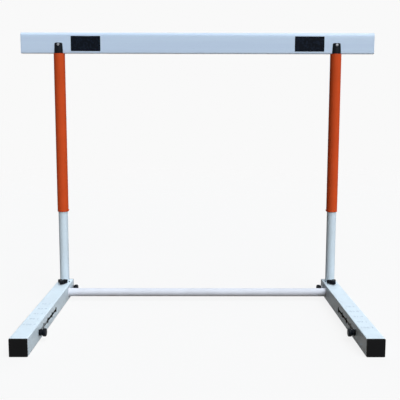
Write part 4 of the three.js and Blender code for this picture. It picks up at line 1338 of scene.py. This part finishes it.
class HURDLE_OT_weight_knobs(Operator):
    """Make the pull knobs of the counterweights"""

    bl_idname = "hurdle.weight_knobs"
    bl_label = "Counterweight knobs"

    def execute(self, context):
        settings = context.scene.hurdle_knobs
        for name, side in SIDES.items():
            foot, knob = places(name, "foot", "weight_knob")
            placed = inwards(foot, knob.middle.y, knob.middle.z, side)
            start, front = knob.reach(foot)
            collar, flange = start + COLLAR, start + COLLAR + FLANGE
            waist, head = flange + WAIST / 2, flange + WAIST
            edge = settings.small_edge
            corners = [
                (COLLAR_RADIUS / 2, start, 0),
                (COLLAR_RADIUS, start, edge),
                (COLLAR_RADIUS, collar, 0),
                (FLANGE_RADIUS, collar, edge),
                (FLANGE_RADIUS, flange, edge * 2),
                (WAIST_RADIUS, waist, settings.grip_edge),
                (knob.size.z / 2, head, settings.grip_edge),
                (knob.size.z / 2, front, settings.grip_edge),
                (0, front - edge, 0),
            ]
            dress(turned(f"{name}_weight_grip", corners, placed, TURN_STEPS), f"{name}_weight_knob")
        return {"FINISHED"}


class HURDLE_OT_springs(Operator):
    """Make the coil springs of the post locks and the counterweights, each lock spring with a mesh of its
    own
    """

    bl_idname = "hurdle.springs"
    bl_label = "Springs"

    def execute(self, context):
        settings = context.scene.hurdle_knobs
        for name, side in SIDES.items():
            for part, turns in {"lock": settings.lock_turns, "weight": settings.weight_turns}.items():
                node = f"{name}_{part}_spring"
                spring = Place(node)
                placed = along("X", (spring.low.x, spring.middle.y, spring.middle.z))
                radius = spring.size.z / 2 - settings.wire
                made = coil(f"{name}_{part}_coil", radius, settings.wire, turns, spring.size.x, placed)
                dress(made, node)
                if part == "lock":
                    seat = (spring.end("x", -side), spring.middle.y, spring.middle.z)
                    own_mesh(made)
        return {"FINISHED"}


class HURDLE_OT_inner_parts(Operator):
    """Give every node that the frame still shows its finish"""

    bl_idname = "hurdle.inner_parts"
    bl_label = "Inner parts"

    def execute(self, context):
        for name, node in frame["nodes"].items():
            if not node.hide_render:
                node.data.materials.clear()
                node.data.materials.append(finishes[SLOTS[name]])
        return {"FINISHED"}


# The stage

FLOOR_REACH = 14.0
# Distances from the middle where the floor starts to fade and where it is gone
FLOOR_FADE = (2.2, 7.0)
# The direction of the brightest sky, and how far against it the sky is dimmest
SKY_DIRECTION = (0.75, -0.1, 0.65)
SKY_START = -0.6
LAMP_SPREAD = math.radians(40)
# The direction and the colour of each lamp
LAMPS = {
    "key": ((0.32, -0.2, 0.92), (0.96, 0.98, 1.0)),
    "fill": ((0.32, -0.81, 0.49), (0.92, 0.96, 1.0)),
    "back": ((0.15, 0.9, 0.4), (0.94, 0.97, 1.0)),
}


class HURDLE_OT_stage(Operator):
    """Make the pale floor, the soft lamps, the sky light and the photo's camera"""

    bl_idname = "hurdle.stage"
    bl_label = "Stage"

    def execute(self, context):
        settings = context.scene.hurdle_stage
        scene = context.scene
        scene.view_settings.view_transform = "Standard"
        self.camera(scene, settings)
        self.floor(settings)
        self.world(scene, settings)
        for name, (towards, colour) in LAMPS.items():
            lamp = self.lamp(f"{name}_lamp", getattr(settings, name), towards, colour)
            lamp.visible_glossy = name != "back"
        return {"FINISHED"}

    def camera(self, scene, settings):
        data = bpy.data.cameras.new("photo_camera")
        data.lens = settings.lens
        camera = linked("photo_camera", data)
        turn = Matrix.Rotation(settings.yaw, 4, "Z")
        turn @= Matrix.Rotation(math.pi / 2 - settings.pitch, 4, "X")
        turn @= Matrix.Rotation(-settings.roll, 4, "Z")
        place = Vector((settings.camera_x, -settings.camera_back, settings.camera_up))
        camera.matrix_world = Matrix.Translation(place) @ turn
        scene.camera = camera

    def floor(self, settings):
        mesh = bpy.data.meshes.new("floor")
        reach, drop = FLOOR_REACH, -GAP
        corners = [(x * reach, y * reach, drop) for x, y in ((-1, -1), (1, -1), (1, 1), (-1, 1))]
        mesh.from_pydata(corners, [], [(0, 1, 2, 3)])
        material = bpy.data.materials.new("pale_floor")
        mesh.materials.append(material)
        tree = Tree(material)
        plain = tree.node("ShaderNodeEmission", {"Color": opaque(settings.backdrop)})
        shaded = tree.node("ShaderNodeBsdfDiffuse", {"Color": opaque(settings.backdrop)})
        ground = tree.node("ShaderNodeBsdfDiffuse", {"Color": opaque(settings.ground)})
        near = tree.blend(tree.seen(), ground, tree.blend(settings.shadow, plain, shaded))
        place = tree.node("ShaderNodeTexCoord", {}).outputs["Object"]
        distance = tree.node("ShaderNodeVectorMath", {0: place}, operation="LENGTH").outputs["Value"]
        clear = tree.node("ShaderNodeBsdfTransparent", {})
        whole = tree.blend(tree.ramp(distance, *FLOOR_FADE), near, clear)
        tree.node("ShaderNodeOutputMaterial", {"Surface": whole.outputs["Shader"]})
        linked("floor", mesh)

    def world(self, scene, settings):
        """Light from all round, brighter from the right and above, behind a plain pale backdrop."""
        scene.world = bpy.data.worlds.new("studio")
        tree = Tree(scene.world)
        inputs = {0: tree.node("ShaderNodeTexCoord", {}).outputs["Generated"], 1: SKY_DIRECTION}
        facing = tree.node("ShaderNodeVectorMath", inputs, operation="DOT_PRODUCT").outputs["Value"]
        level = tree.node("ShaderNodeMapRange", {"Value": facing, "From Min": SKY_START})
        tint = tree.mix(level.outputs["Result"], opaque(settings.sky_dim), opaque(settings.sky_bright))
        lit = tree.node("ShaderNodeBackground", {"Color": tint, "Strength": settings.sky})
        plain = tree.node("ShaderNodeBackground", {"Color": opaque(settings.backdrop)})
        whole = tree.blend(tree.seen(), lit, plain)
        tree.node("ShaderNodeOutputWorld", {"Surface": whole.outputs["Shader"]})

    def lamp(self, name, power, towards, colour):
        """A wide, distant lamp that shines from the given direction."""
        data = bpy.data.lights.new(name, "SUN")
        data.energy = power
        data.angle = LAMP_SPREAD
        data.color = colour
        lamp = linked(name, data)
        lamp.rotation_mode = "QUATERNION"
        lamp.rotation_quaternion = Vector(towards).to_track_quat("Z", "Y")
        return lamp


class HURDLE_PT_panel(Panel):
    """Sizes, colours and steps of the hurdle"""

    bl_label = "Hurdle"
    bl_idname = "HURDLE_PT_panel"
    bl_space_type = "VIEW_3D"
    bl_region_type = "UI"
    bl_category = "Hurdle"

    def draw(self, context):
        for step in STEPS:
            self.layout.operator(step.bl_idname)
        for name, group in SETTINGS.items():
            box = self.layout.box()
            box.label(text=name.replace("_", " ").capitalize())
            for key in group.__annotations__:
                box.prop(getattr(context.scene, name), key)


SETTINGS = {
    "hurdle_finish": HurdleFinishSettings,
    "hurdle_bar": HurdleBarSettings,
    "hurdle_posts": HurdlePostSettings,
    "hurdle_feet": HurdleFootSettings,
    "hurdle_knobs": HurdleKnobSettings,
    "hurdle_stage": HurdleStageSettings,
}

STEPS = (
    HURDLE_OT_finishes,
    HURDLE_OT_bar,
    HURDLE_OT_bar_caps,
    HURDLE_OT_labels,
    HURDLE_OT_outer_tubes,
    HURDLE_OT_inner_tubes,
    HURDLE_OT_top_plugs,
    HURDLE_OT_bar_fasteners,
    HURDLE_OT_feet,
    HURDLE_OT_end_plugs,
    HURDLE_OT_crossbar,
    HURDLE_OT_marks,
    HURDLE_OT_clamps,
    HURDLE_OT_post_locks,
    HURDLE_OT_weight_knobs,
    HURDLE_OT_springs,
    HURDLE_OT_inner_parts,
    HURDLE_OT_stage,
)


def register():
    for group in SETTINGS.values():
        bpy.utils.register_class(group)
    for name, group in SETTINGS.items():
        setattr(bpy.types.Scene, name, PointerProperty(type=group))
    for step in STEPS:
        bpy.utils.register_class(step)
    bpy.utils.register_class(HURDLE_PT_panel)


def unregister():
    bpy.utils.unregister_class(HURDLE_PT_panel)
    for step in reversed(STEPS):
        bpy.utils.unregister_class(step)
    for name, group in SETTINGS.items():
        delattr(bpy.types.Scene, name)
        bpy.utils.unregister_class(group)


def main():
    register()
    for step in STEPS:
        group, name = step.bl_idname.split(".")
        getattr(getattr(bpy.ops, group), name)()


if __name__ == "__main__":
    main()
